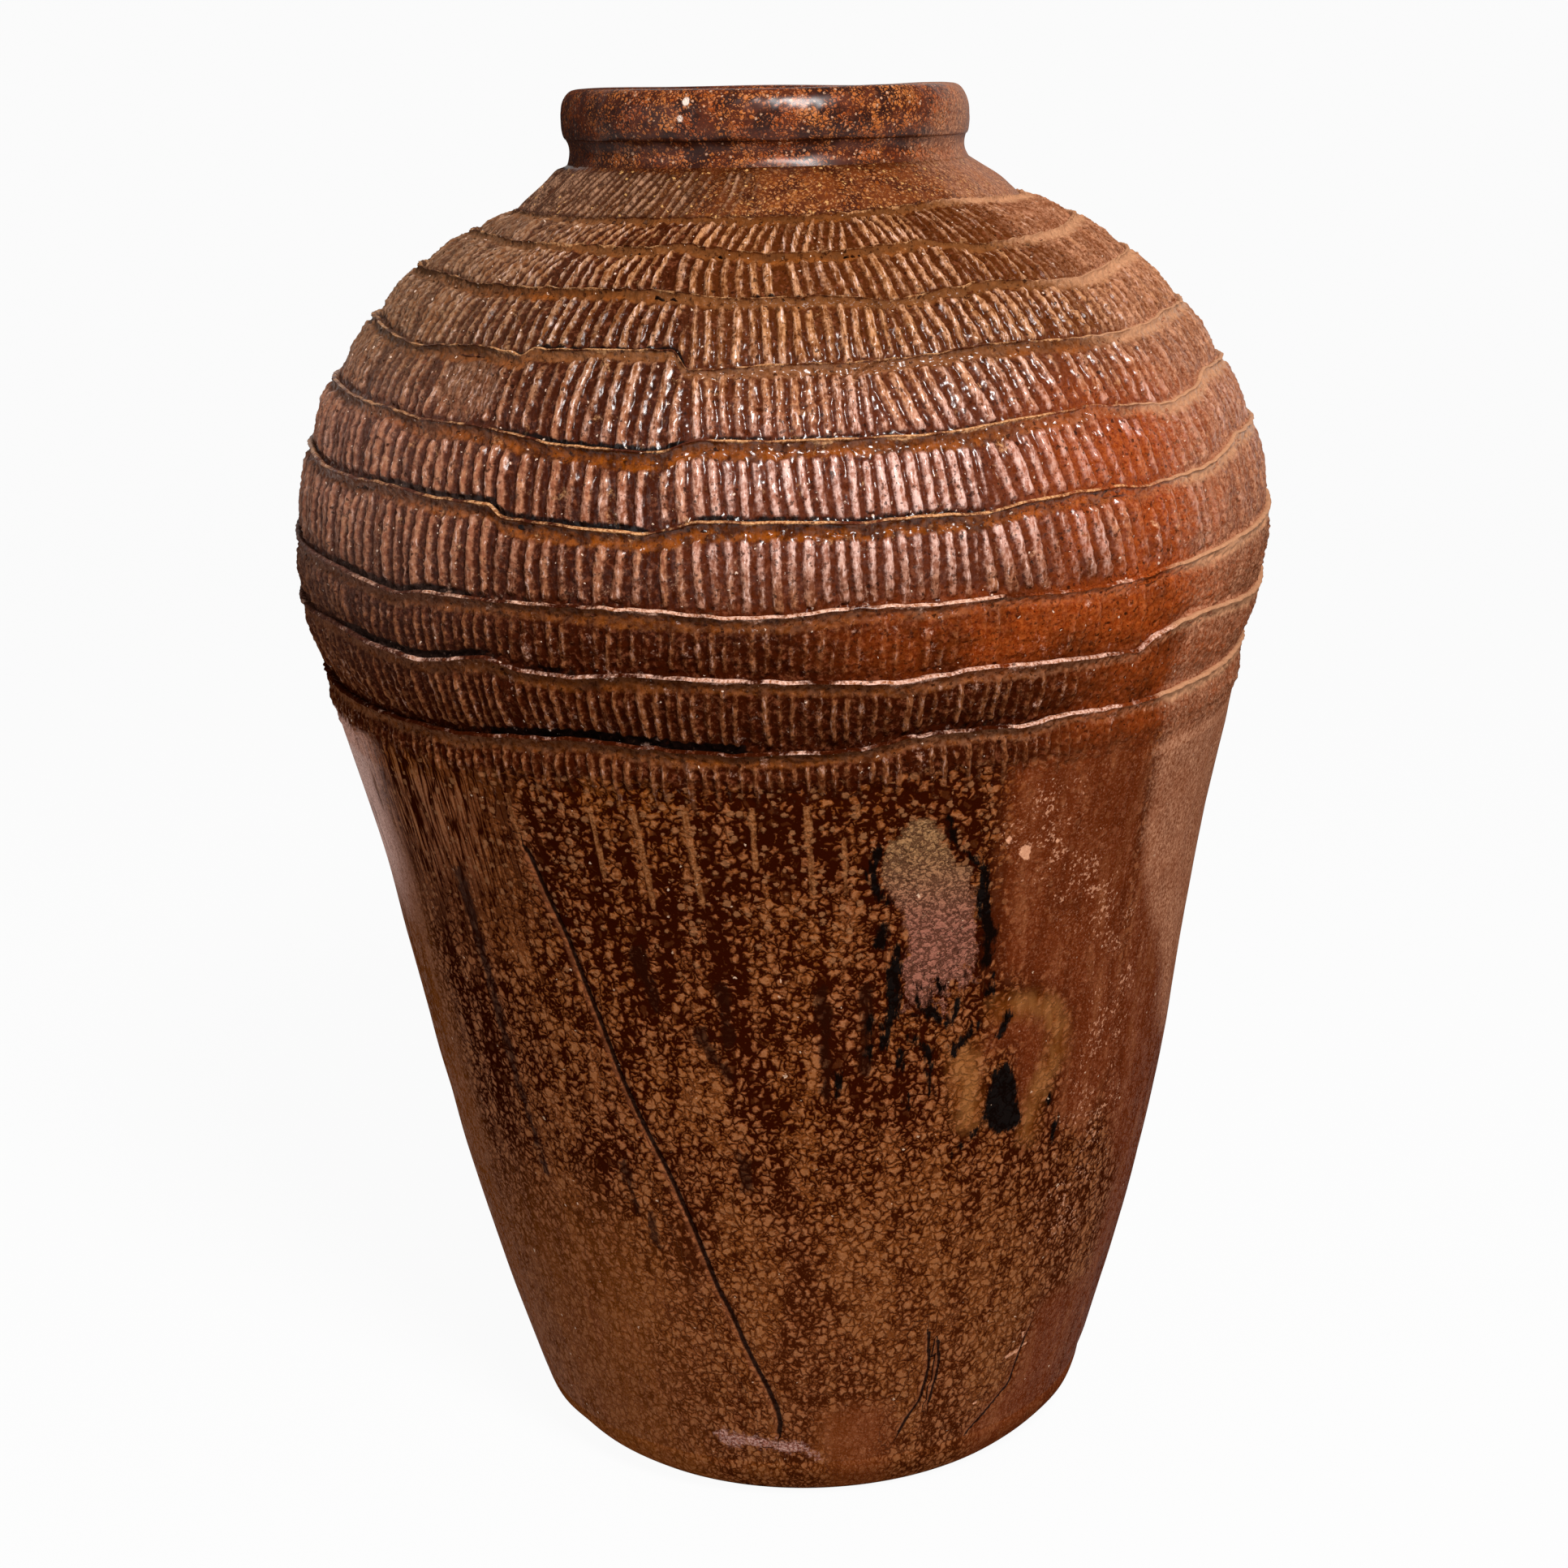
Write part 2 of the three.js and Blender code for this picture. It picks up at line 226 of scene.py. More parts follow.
# Strokes on the lower wall: half width at the start and at the end in millimetres, then places
AMBER_STROKES = [
    (5, 4.5, [(21.9, 184), (23, 160)]),
    (4.2, 3.8, [(27, 200), (31, 200), (35.3, 195), (37.2, 186), (37, 176), (34.8, 168), (33.4, 158),
                (33, 149)]),
]
BLACK_STROKES = [
    (1.2, 2.2, [(18.1, 274), (19.4, 263), (20.7, 260), (22.2, 257), (23, 252)]),
    (2.4, 2.2, [(23, 252), (23, 246), (23.7, 239), (24.7, 229), (24.3, 223), (24.1, 219)]),
    (1.6, 1.8, [(9.7, 265), (9.3, 259), (9.4, 254), (10.3, 249), (11.3, 246)]),
    (1.6, 1.6, [(10.6, 238), (10.3, 231)]),
    (2.4, 2, [(12.4, 228), (12, 218), (12.2, 212), (11.4, 201), (10.4, 193)]),
    (1.8, 1.6, [(18, 214), (18.2, 211)]),
    (2.2, 1.8, [(16.7, 204), (18.9, 199)]),
    (1.6, 1.2, [(23.4, 197), (21.5, 190)]),
    (2, 1.8, [(28.2, 196.5), (26.9, 190.5)]),
    (1.4, 1.1, [(20, 189), (20.4, 185)]),
    (1.5, 1, [(9.2, 204), (9, 190)]),
    (1.6, 1.2, [(15.2, 214), (14.8, 203)]),
    (1.5, 1.1, [(20.6, 207), (19.6, 198)]),
    (1.3, 1, [(12.9, 190), (12.6, 181)]),
    (1.4, 1, [(5, 184), (4, 175)]),
    (1.2, 1, [(25.4, 214), (25, 207)]),
    (1.4, 1.4, [(14.5, 195), (16.7, 189), (17.2, 173)]),
    (1.5, 1.2, [(13.8, 172), (13.9, 168)]),
    (1.2, 1, [(36.6, 160), (36.7, 157)]),
    (1.2, 1, [(38.3, 150), (37.9, 140)]),
    (1, 0.6, [(23.9, 155), (20.8, 148)]),
]
STAINS = [
    (3, 1, [(-45.8, 247), (-45.4, 225), (-44.8, 195), (-44, 160), (-43, 132)]),
    (1.6, 1.2, [(-27, 145), (-26, 125)]),
    (1.8, 1.2, [(-24, 125), (-23.5, 113)]),
    (3, 1.6, [(-20, 228), (-18, 208)]),
    (2.6, 1.8, [(-9.5, 216), (-9, 196)]),
    (2.4, 1.4, [(-13, 200), (-9.5, 183)]),
    (2, 1.4, [(-9, 152), (-8.6, 140)]),
    (2.2, 1.4, [(3, 215), (3.2, 175)]),
    (2.4, 1.6, [(8.6, 214), (8.4, 184)]),
]
PALE_RUNS = [
    (0.9, 0.7, [(-33.5, 286), (-33, 262)]),
    (0.9, 0.7, [(-22.5, 280), (-22.2, 255)]),
    (1.1, 0.8, [(-17.5, 286), (-17, 268), (-16.6, 245)]),
    (1.1, 0.9, [(-11.5, 286), (-11.2, 266), (-10.6, 248)]),
    (0.9, 0.7, [(-4, 286), (-4, 260)]),
    (1.1, 0.8, [(2, 286), (2.1, 268), (2.4, 250)]),
    (0.8, 0.6, [(6, 270), (6.2, 250)]),
    (0.8, 0.6, [(7.5, 286), (7.5, 278)]),
]
PALE_CHIPS = [
    (2.2, 1.6, [(28.4, 257.5), (28.8, 255.5)]),
    (0.9, 0.7, [(26, 263), (26.2, 262)]),
    (0.8, 0.6, [(33, 259), (33.2, 258)]),
    (1.2, 0.9, [(40.3, 58.5), (40.4, 57)]),
    (0.8, 1, [(37.2, 50), (41.9, 52)]),
    (1.2, 0.9, [(31.6, 33.5), (31.9, 32.5)]),
]
HEEL_WEAR = [(3, 2.6, [(-17, 29), (-12, 28), (-7, 27), (-2, 25)]), (2, 1.4, [(-2, 25), (0.6, 20.5)])]

# Chips on the rim: degrees, height and half width
RIM_CHIPS = [(-21, 496, 1.4), (-22.6, 490.5, 1.2)]

# Settled dust: where its edge runs round the right-hand side at each height, and how softly it starts
DUST_EDGE = [(0, 80), (150, 66), (165, 58), (190, 57), (215, 52), (250, 46), (300, 45), (350, 40), (400, 36),
             (450, 30), (480, 26), (500, 40)]
DUST_SOFTNESS = [(0, 30), (160, 14), (220, 6), (300, 6), (335, 12), (420, 26), (500, 40)]

# Pale flecks scattered beside the dust: path over the wall and half width in millimetres
FLECK_PATH = [(29, 296), (31, 262), (38, 240), (47, 215), (50, 195), (48, 165), (46, 140), (44, 110)]
FLECK_REACH = 26

# How far a mark measured in millimetres can be from anything before it no longer matters
FAR = 8

# Radius that patterns are wrapped round, so that they run down the wall with its flare
BELLY_RADIUS = 150

# Hand-made unevenness: the jar's middle wanders to the right or left with height, its section is a little
# oval and a little three-sided, and the rim dips to the right
SWAY = [(0, 1.4), (20, 0.1), (50, 0.2), (80, 0.9), (110, 1.1), (140, 1.3), (170, 0.6), (200, -0.2),
        (230, -0.4), (260, -0.9), (295, -1.3), (325, -1.1), (350, 0.1), (375, 0.2), (400, -0.9),
        (430, -1.2), (445, -1.8), (465, -0.2), (485, -1.4), (500, -1.3)]
FULLNESS = [(0, 0.3), (25, 0.8), (140, 0.9), (240, 1), (300, 1.6), (325, 2.4), (360, 2.8), (385, 2.2),
            (405, 1.3), (420, 0), (460, 0), (475, 0.6), (490, 0)]
OVAL_SHARE = 0.003
THREE_SIDED_SHARE = 0.002
RIM_DIP = 1.2
RIM_TRIM = 0.9
RIM_SWELL_SHARE = 0.45
RIM_DIP_START = 462


def smoothstep(low, high, value):
    """0 at low and beyond, 1 at high and beyond, with a soft step between."""
    share = np.clip((value - low) / (high - low), 0, 1)
    return share * share * (3 - 2 * share)


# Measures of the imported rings


def ring_points(node):
    """Radii and heights of a packed ring's corners, in millimetres."""
    points = np.array([vertex.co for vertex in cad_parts[node].data.vertices]) / MM
    return np.hypot(points[:, 0], points[:, 1]), points[:, 2]


def lip_of(node):
    """Radius and height of a packed ring's upper outer edge, in millimetres."""
    radii, heights = ring_points(node)
    top = heights.max()
    return radii[heights > top - END_REACH].max(), top


PLAIN_RINGS = sorted(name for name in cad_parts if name.startswith("lower_course_"))
STAMPED_RINGS = sorted(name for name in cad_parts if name.startswith("stamped_course_"))
STATIONS = np.array([lip_of(name) for name in ["base_disc", *PLAIN_RINGS, *STAMPED_RINGS, "shoulder_collar"]])
OUTLINE_RADII, OUTLINE_HEIGHTS = STATIONS.T
OUTLINE_SLOPES = np.gradient(OUTLINE_RADII, OUTLINE_HEIGHTS)
RIDGE_HEIGHTS = OUTLINE_HEIGHTS[len(PLAIN_RINGS):-1]

foot_radii, foot_heights = ring_points("base_disc")
FOOT_RADIUS = foot_radii[foot_heights < END_REACH].max()
FLOOR_HEIGHT = foot_heights.max()
neck_radii, neck_heights = ring_points("neck_ring")
rim_radii, rim_heights = ring_points("rim_roll")
MOUTH_RADIUS = rim_radii.min()
RIM_RADIUS = rim_radii.max()
RIM_BOTTOM, RIM_TOP = rim_heights.min(), rim_heights.max()
NECK_ROOT_RADIUS = neck_radii.max()
NECK_WAIST_RADIUS = neck_radii[neck_radii > (MOUTH_RADIUS + NECK_ROOT_RADIUS) / 2].min()
NECK_FOOT = OUTLINE_HEIGHTS[-1]
NECK_INNER_FOOT = neck_heights.min()


def outline_radius(height):
    """Radius of the jar's smooth outline at a height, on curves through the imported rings' edges."""
    low = np.clip(np.searchsorted(OUTLINE_HEIGHTS, height) - 1, 0, len(OUTLINE_HEIGHTS) - 2)
    span = OUTLINE_HEIGHTS[low + 1] - OUTLINE_HEIGHTS[low]
    t = (height - OUTLINE_HEIGHTS[low]) / span
    from_below = (1 + 2 * t) * OUTLINE_RADII[low] + t * span * OUTLINE_SLOPES[low]
    from_above = (3 - 2 * t) * OUTLINE_RADII[low + 1] + (t - 1) * span * OUTLINE_SLOPES[low + 1]
    return (1 - t) ** 2 * from_below + t * t * from_above


def inside_of(station):
    """Radius and height inside the wall, square behind one of the outline's stations."""
    lean = math.atan(OUTLINE_SLOPES[station])
    radius = OUTLINE_RADII[station] - WALL_THICKNESS * math.cos(lean)
    height = OUTLINE_HEIGHTS[station] + WALL_THICKNESS * math.sin(lean)
    return radius, height


INSIDE = [inside_of(station) for station in range(len(STATIONS))]
INSIDE[0] = (INSIDE[0][0], FLOOR_HEIGHT)
INSIDE[-1] = (MOUTH_RADIUS, NECK_INNER_FOOT)


def along_inside(first, last, span):
    """Radii and heights on the straight inner face between two stations."""
    (radius, height), (last_radius, last_height) = INSIDE[first], INSIDE[last]
    return radius + span * (last_radius - radius), height + span * (last_height - height)


# Turned pieces


def turned_ring(name, corners, rows, sides):
    """A closed section of (radius, height) corners turned about the jar's axis.

    Each stretch between corners is cut into rows, and every vertex keeps its place along the section:
    0 at the first corner, 1 at the second, and so on.
    """
    bm = bmesh.new()
    along = bm.verts.layers.float.new("along")
    ends = [bm.verts.new((0, -radius * MM, height * MM)) for radius, height in corners]
    for place, vertex in enumerate(ends):
        vertex[along] = place
    stretches = [bm.edges.new(pair) for pair in zip(ends, ends[1:] + ends[:1])]
    for stretch, cuts in zip(stretches, rows):
        if cuts:
            bmesh.ops.subdivide_edges(bm, edges=[stretch], cuts=cuts)
    section = bm.verts[:] + bm.edges[:]
    bmesh.ops.spin(
        bm, geom=section, cent=(0, 0, 0), axis=(0, 0, 1), angle=math.tau, steps=SPIN_STEPS, use_merge=True
    )
    bmesh.ops.remove_doubles(bm, verts=bm.verts, dist=MERGE_REACH * MM)
    round_edges = [edge for edge in bm.edges if edge.verts[0][along] == edge.verts[1][along]]
    bmesh.ops.subdivide_edges(bm, edges=round_edges, cuts=sides // SPIN_STEPS - 1, use_grid_fill=True)
    bmesh.ops.recalc_face_normals(bm, faces=bm.faces)
    mesh = bpy.data.meshes.new(name)
    bm.to_mesh(mesh)
    bm.free()
    piece = bpy.data.objects.new(name, mesh)
    bpy.context.scene.collection.objects.link(piece)
    return piece


def places(piece):
    """Each vertex's degrees round the jar and its place along the section."""
    mesh = piece.data
    points = np.empty(len(mesh.vertices) * 3, np.float32)
    mesh.vertices.foreach_get("co", points)
    points = points.reshape(-1, 3)
    along = np.empty(len(points), np.float32)
    mesh.attributes["along"].data.foreach_get("value", along)
    return np.degrees(np.arctan2(points[:, 0], -points[:, 1])), along.astype(float)


def set_shape(piece, degrees, radii, heights):
    """Moves a piece's vertices to these radii and heights, with the jar's hand-made unevenness."""
    angles = np.radians(degrees)
    radii = radii + np.interp(heights, *zip(*FULLNESS)) * np.clip(radii / MOUTH_RADIUS, 0, 1)
    oval = OVAL_SHARE * np.cos(2 * angles - 0.8)
    three_sided = THREE_SIDED_SHARE * np.cos(3 * angles + 0.7)
    radii = radii * (1 + oval + three_sided)
    across = radii * np.sin(angles)
    dip = RIM_DIP * across / RIM_RADIUS * smoothstep(RIM_DIP_START, RIM_BOTTOM, heights)
    sway = np.interp(heights, *zip(*SWAY))
    points = np.stack([across + sway, -radii * np.cos(angles), heights - dip], axis=1) * MM
    mesh = piece.data
    mesh.attributes.remove(mesh.attributes["along"])
    mesh.vertices.foreach_set("co", points.astype(np.float32).ravel())
    mesh.update()
    mesh.shade_smooth()
    mesh.set_sharp_from_angle(angle=math.radians(SHARP_ANGLE))


def set_marks(piece, **marks):
    """Keeps named values at each vertex for the piece's material."""
    for name, values in marks.items():
        attribute = piece.data.attributes.new(name, "FLOAT", "POINT")
        values = np.broadcast_to(values, len(piece.data.vertices))
        attribute.data.foreach_set("value", values.astype(np.float32))


# Ways of laying marks round the jar, in steps of degrees

FINE_STEP = 0.125
FINE_DEGREES = np.arange(-180, 180, FINE_STEP)


def round_the_jar(marks, degrees, softness=0.4):
    """A value given at a few places, carried smoothly round the jar."""
    at, values = zip(*marks)
    level = np.interp(FINE_DEGREES, at, values, period=360)
    reach = int(3 * softness / FINE_STEP)
    weights = np.exp(-0.5 * (np.arange(-reach, reach + 1) * FINE_STEP / softness) ** 2)
    level = np.convolve(np.pad(level, reach, mode="wrap"), weights / weights.sum(), mode="valid")
    return np.interp(degrees, FINE_DEGREES, level, period=360)


def to_the_back(degrees):
    """The place behind the jar that mirrors a place in front."""
    return math.copysign(180, degrees) - degrees


def unevenness(degrees, heights, seed, turns, climb):
    """Soft hand-made waves of about -1 to 1.

    They have up to so many turns round the jar, and climb by so many radians for each millimetre up it.
    """
    rng = np.random.default_rng(seed)
    angles = np.radians(degrees)
    total = np.zeros(np.broadcast(degrees, heights).shape)
    for _ in range(WAVE_COUNT):
        wave = rng.integers(2, turns) * angles + rng.normal(0, climb) * heights + rng.uniform(0, math.tau)
        total = total + np.sin(wave)
    return total / WAVE_DIVISOR


def ridge_level(course, degrees):
    """Height of a stamped course's ridge round the jar. Course 0 is the top of the plain wall."""
    if course == 0:
        return np.full(np.shape(degrees), RIDGE_HEIGHTS[0])
    front = RIDGE_WAVES[course - 1]
    back = [(to_the_back(at), rise) for at, rise in RIDGE_WAVES[course % len(RIDGE_WAVES)]]
    fine = 0.18 * unevenness(degrees, 0, 200 + course, 130, 0)
    return RIDGE_HEIGHTS[course] + round_the_jar(front + back, degrees) + fine


def on_the_slant(low, high, rise, depth):
    """Radius and height of a point so far up a course and so deep behind the line between two ridges."""
    foot = outline_radius(low)
    reach = outline_radius(high) - foot
    length = np.hypot(reach, high - low)
    flare, climb = reach / length, (high - low) / length
    return foot + flare * rise - climb * depth, low + climb * rise + flare * depth


def paddle_marks(course, degrees, share, dark):
    """How far a point stands on one of the paddle's bars, its own end, and the place across its blow."""
    rng = np.random.default_rng(40 + course)
    back = [(to_the_back(edge), spacing, -lean) for edge, spacing, lean in BLOWS[course % len(BLOWS)]]
    edges, spacings, leans = np.array(sorted(BLOWS[course - 1] + back)).T
    widths = np.diff(np.append(edges, edges[0] + 360))
    starts = rng.uniform(0, 1, len(edges))
    blow = np.searchsorted(edges, degrees, side="right") - 1
    from_edge = np.mod(degrees - edges[blow], 360)
    hook = BAR_HOOK * np.clip(1 - share, 0, 1) ** 5
    waver = 0.1 * unevenness(degrees, 40 * share, 90 + course, 70, 0.12)
    count = from_edge / spacings[blow] + starts[blow] + leans[blow] * (share - 0.5) - hook + waver
    bar = np.floor(count)
    from_middle = np.abs(count - bar - 0.5) * 2
    which = (bar.astype(int) * 7 + blow * 31) % BAR_KINDS
    heights = rng.uniform(0.45, 1.15, BAR_KINDS)[which]
    ends = rng.normal(0, 0.7, BAR_KINDS)[which]
    fullness = rng.normal(0, 0.06, BAR_KINDS)[which] - 0.2 * dark
    raised = 1 - smoothstep(0.3 + fullness, 0.88 + 0.7 * fullness, from_middle)
    to_side = np.minimum(from_edge, widths[blow] - from_edge) / spacings[blow]
    return raised * heights * smoothstep(0, 0.5, to_side), ends, from_edge / widths[blow]


def paddled_course(course):
    """One grooved ring: bars, an amber lip, a rounded ridge, and a ledge that the next ring hides."""
    low, high = RIDGE_HEIGHTS[course - 1], RIDGE_HEIGHTS[course]
    length = math.hypot(outline_radius(high) - outline_radius(low), high - low)
    station = len(PLAIN_RINGS) + course
    ledge_end = length - LEDGE_FALL * LEDGE_RUN
    corners = [
        on_the_slant(low, high, -FOOT_TUCK, LEDGE),
        on_the_slant(low, high, length - LIP_BAND, LIP_DEPTH),
        on_the_slant(low, high, length - RIDGE_ROUNDING, 0),
        on_the_slant(low, high, length, RIDGE_ROUNDING),
        on_the_slant(low, high, ledge_end, LEDGE_RUN),
        INSIDE[station],
        INSIDE[station - 1],
    ]
    piece = turned_ring(f"paddled_course_{course}", corners, COURSE_ROWS, COURSE_SIDES)
    degrees, along = places(piece)
    low, high = ridge_level(course - 1, degrees), ridge_level(course, degrees)
    length = np.hypot(outline_radius(high) - outline_radius(low), high - low)
    on_front = along <= 2

    # Place up the course, and how far the rounded ridge and the ledge lie behind its line
    turn = np.clip(along - 2, 0, 1) * math.pi / 2
    inward = np.clip(along - 3, 0, 1) * (LEDGE_RUN - RIDGE_ROUNDING)
    rise = np.clip(along, 0, 1) * (length - LIP_BAND + FOOT_TUCK) - FOOT_TUCK
    rise = rise + np.clip(along - 1, 0, 1) * (LIP_BAND - RIDGE_ROUNDING)
    rise = rise + RIDGE_ROUNDING * np.sin(turn) - LEDGE_FALL * inward
    behind = RIDGE_ROUNDING * (1 - np.cos(turn)) + inward
    below_ridge = np.where(on_front, length - rise, 0)
    share = rise / length

    # Floor of the stamped face: lip curling out to the ridge, and a fillet of pooled glaze at the foot
    crispness = round_the_jar(CRISPNESS, degrees, softness=3)
    ledge = LEDGE if course > 1 else LOWEST_LEDGE
    in_lip = np.clip(below_ridge / LIP_BAND, 0, 1)
    under_lip = np.clip((below_ridge - LIP_BAND) / (length - LIP_BAND), 0, 1)
    floor = LIP_DEPTH * (1 - (1 - in_lip) ** 2) + (ledge - LIP_DEPTH) * under_lip
    fillet = np.where(rise > 0, np.clip(1 - rise / POOL_HEIGHT, 0, 1) ** 2, 1)
    floor = floor * crispness - (POOL_FILL * fillet if course > 1 else 0)
    floor = floor - FACE_SWELL * np.sin(math.pi * np.clip(share, 0, 1)) * on_front

    # Bars, and scoops that the thumb smoothed over them
    grooves = DARK_GROOVES_LOW if course <= LOW_COURSES else DARK_GROOVES_HIGH
    dark = round_the_jar(grooves, degrees, softness=1)
    bars, ends, across_blow = paddle_marks(course, degrees, share, dark)
    strength = round_the_jar(STAMP_STRENGTHS[course - 1], degrees, softness=2)
    amber = round_the_jar(AMBER_LIPS[course - 1], degrees, softness=2)
    lip_share = 0.72 + 0.65 * amber * smoothstep(15, 21, length)
    lip = LIP_BAND * (lip_share + 0.14 * unevenness(degrees, 0, 100 + course, 40, 0))
    top_end = smoothstep(lip - 1.4, lip + 0.5, below_ridge + ends)
    foot_end = smoothstep(0.9, 2.4, rise + ends * 0.7) if course > 1 else smoothstep(-2, 8, rise + 4 * ends)
    bars = bars * top_end * foot_end * strength * on_front
    hollow, smoothed = np.zeros_like(bars), np.zeros_like(bars)
    for scooped, middle, half_width, depth in SCOOPS:
        if scooped == course:
            reach = (np.mod(degrees - middle + 180, 360) - 180) / half_width
            dish = smoothstep(1.2, 0.6, np.hypot(reach, (share - 0.48) / 0.45))
            bars = bars * (1 - 0.5 * dish)
            smoothed = np.maximum(smoothed, dish)
            hollow = hollow + depth * dish
    if course == SCARRED_COURSE:
        belly = RIM_RADIUS * 2
        line = np.array([(math.radians(at) * belly, up * SCARRED_WIDTH) for at, up in SCAR])
        off_scar, _, _ = from_line(np.radians(degrees) * belly, share * SCARRED_WIDTH, line)
        hollow = hollow + 0.7 * smoothstep(1.1, 0.2, off_scar)
        bars = bars + 0.35 * smoothstep(1.9, 1.1, off_scar) * smoothstep(0.5, 1.1, off_scar)
    press = PADDLE_PRESS * (1 - (2 * across_blow - 1) ** 2)
    wobble = 0.3 * unevenness(degrees, rise, 60 + course, 60, 0.25)
    wobble = wobble + 0.32 * unevenness(degrees, rise, 70 + course, 360, 1.6)
    on_face = smoothstep(0, 2, below_ridge)
    nubs = 0.2 * unevenness(degrees, 0, 110 + course, 170, 0) * smoothstep(3, 0, below_ridge)
    relief = floor + (hollow + press + wobble) * on_face + nubs - BAR_HEIGHT * bars
    if course == 1:
        relief = relief * smoothstep(0, 6, rise)
    radii, heights = on_the_slant(low, high, rise, behind + relief)

    # Inside, the ring runs straight between the joints
    inner = along > 4.5
    inner_radii, inner_heights = along_inside(station, station - 1, np.clip(along - 5, 0, 1))
    radii, heights = np.where(inner, inner_radii, radii), np.where(inner, inner_heights, heights)

    pools = round_the_jar(POOLS[course - 1] + POOLS_BEHIND, degrees)
    at_foot = smoothstep(POOL_HEIGHT + 1.2, POOL_HEIGHT - 1.4, rise) * on_front
    above = round_the_jar(POOLS[course % len(POOLS)] + POOLS_BEHIND, degrees)
    wear = round_the_jar(RIDGE_WEAR[course - 1], degrees)
    wear = wear * (0.8 + 0.5 * unevenness(degrees, 0, 80 + course, 60, 0))
    crest = smoothstep(0.6 + 1.5 * wear, 0.2, below_ridge) * smoothstep(3.5, 3.05, along)
    on_ledges = smoothstep(1.8, 0, below_ridge) + smoothstep(2, 0, rise)
    set_marks(
        piece,
        bar=np.maximum(bars, 0.42 * smoothed),
        lip=smoothstep(0.2, 1, below_ridge) * smoothstep(lip + 1.4, lip - 1.2, below_ridge) * on_front,
        amber=amber,
        pool=np.where(along > 3.2, above, pools * at_foot),
        crest=crest * np.clip(0.12 + 1.2 * wear, 0, 1.2),
        # Band under the ridge: painted shade on the amber lip, and a pale heap of dust that is partly a
        # painted highlight
        bank=smoothstep(7.5, 1.2, below_ridge) * smoothstep(3.6, 3.2, along),
        dark=dark,
        russet=russet_at(degrees, heights),
        haze=haze_at(degrees, heights) * ~inner,
        inside=inner,
        dust=dust_at(degrees, heights, on_ledges) * ~inner,
    )
    if course == 1:
        set_marks(
            piece,
            plain=smoothstep(0.72, 0.1, share) * on_front,
            calm=calm_at(degrees, heights, np.radians(degrees) * outline_radius(heights)),
            glare=glare_at(degrees, heights) * smoothstep(1.6, 0.6, along),
        )
    set_shape(piece, degrees, radii, heights)
    return piece


def dust_at(degrees, heights, ledge=0):
    """How dusty the jar is at a place, from 0 to 1: thick on the right-hand side and on ledges there."""
    edge = np.interp(heights, *zip(*DUST_EDGE))
    softness = np.interp(heights, *zip(*DUST_SOFTNESS))
    right = smoothstep(edge, edge + softness, degrees) * smoothstep(165, 95, degrees)
    return np.clip(right * smoothstep(40, 200, heights) * (0.62 + 0.5 * ledge), 0, 1)


def haze_at(degrees, heights):
    """How far painted shade and a grey painted reflection cover the glaze on the left of the shoulder, from 0
    to 1.
    """
    bloom = 0.6 * smoothstep(-22, -70, degrees) * smoothstep(-178, -150, degrees)
    return bloom * smoothstep(300, 350, heights)


def russet_at(degrees, heights):
    """Where the glaze fired to a clear orange red, from 0 to 1."""
    upper = smoothstep(18, 40, degrees) * smoothstep(66, 48, degrees) * smoothstep(318, 345, heights)
    lower = 0.9 * smoothstep(-2, 20, degrees) * smoothstep(72, 50, degrees) * smoothstep(318, 330, heights)
    lowest = 0.65 * smoothstep(24, 46, degrees) * smoothstep(80, 66, degrees) * smoothstep(284, 298, heights)
    fired = np.maximum(upper * smoothstep(425, 385, heights), lower * smoothstep(354, 342, heights))
    return np.maximum(fired, lowest * smoothstep(326, 314, heights))


# Lower wall


def over_the_wall(places_on_wall):
    """Places on the wall as millimetres round it and up it."""
    degrees, heights = np.array(places_on_wall, float).T
    return np.stack([np.radians(degrees) * outline_radius(heights), heights], axis=1)


def from_line(across, up, line):
    """Distance of points from a line of places, the share of its length where nearest, and the side."""
    nearest = np.full(across.shape, np.inf)
    share = np.zeros(across.shape)
    side = np.ones(across.shape)
    for number, (start, end) in enumerate(zip(line, line[1:])):
        run = end - start
        t = np.clip(((across - start[0]) * run[0] + (up - start[1]) * run[1]) / (run @ run), 0, 1)
        gap_across, gap_up = across - start[0] - t * run[0], up - start[1] - t * run[1]
        distance = np.hypot(gap_across, gap_up)
        closer = distance < nearest
        nearest = np.where(closer, distance, nearest)
        share = np.where(closer, (number + t) / (len(line) - 1), share)
        side = np.where(closer, np.sign(run[0] * gap_up - run[1] * gap_across), side)
    return nearest, share, side


def inside_strokes(across, up, strokes):
    """Millimetres inside the nearest of some strokes, negative outside them all."""
    inside = np.full(across.shape, -FAR, float)
    for start_width, end_width, line in strokes:
        distance, share, _ = from_line(across, up, over_the_wall(line))
        inside = np.maximum(inside, start_width + (end_width - start_width) * share - distance)
    return inside


def inside_patch(across, up, patch):
    """Millimetres inside a patch's edge, negative outside it."""
    outline = over_the_wall(patch + patch[:1])
    distance, _, _ = from_line(across, up, outline)
    crossings = np.zeros(across.shape, int)
    for start, end in zip(outline, outline[1:]):
        spans = (start[1] > up) != (end[1] > up)
        climb = end[1] - start[1] if end[1] != start[1] else 1
        at = start[0] + (up - start[1]) / climb * (end[0] - start[0])
        crossings = crossings + (spans & (across < at))
    return np.clip(np.where(crossings % 2, distance, -distance), -2 * FAR, 2 * FAR)


def behind_too(strokes):
    """Strokes in front, and their mirror images on the back."""
    mirrored = []
    for start_width, end_width, line in strokes:
        mirrored.append((start_width, end_width, [(to_the_back(at), height) for at, height in line]))
    return strokes + mirrored


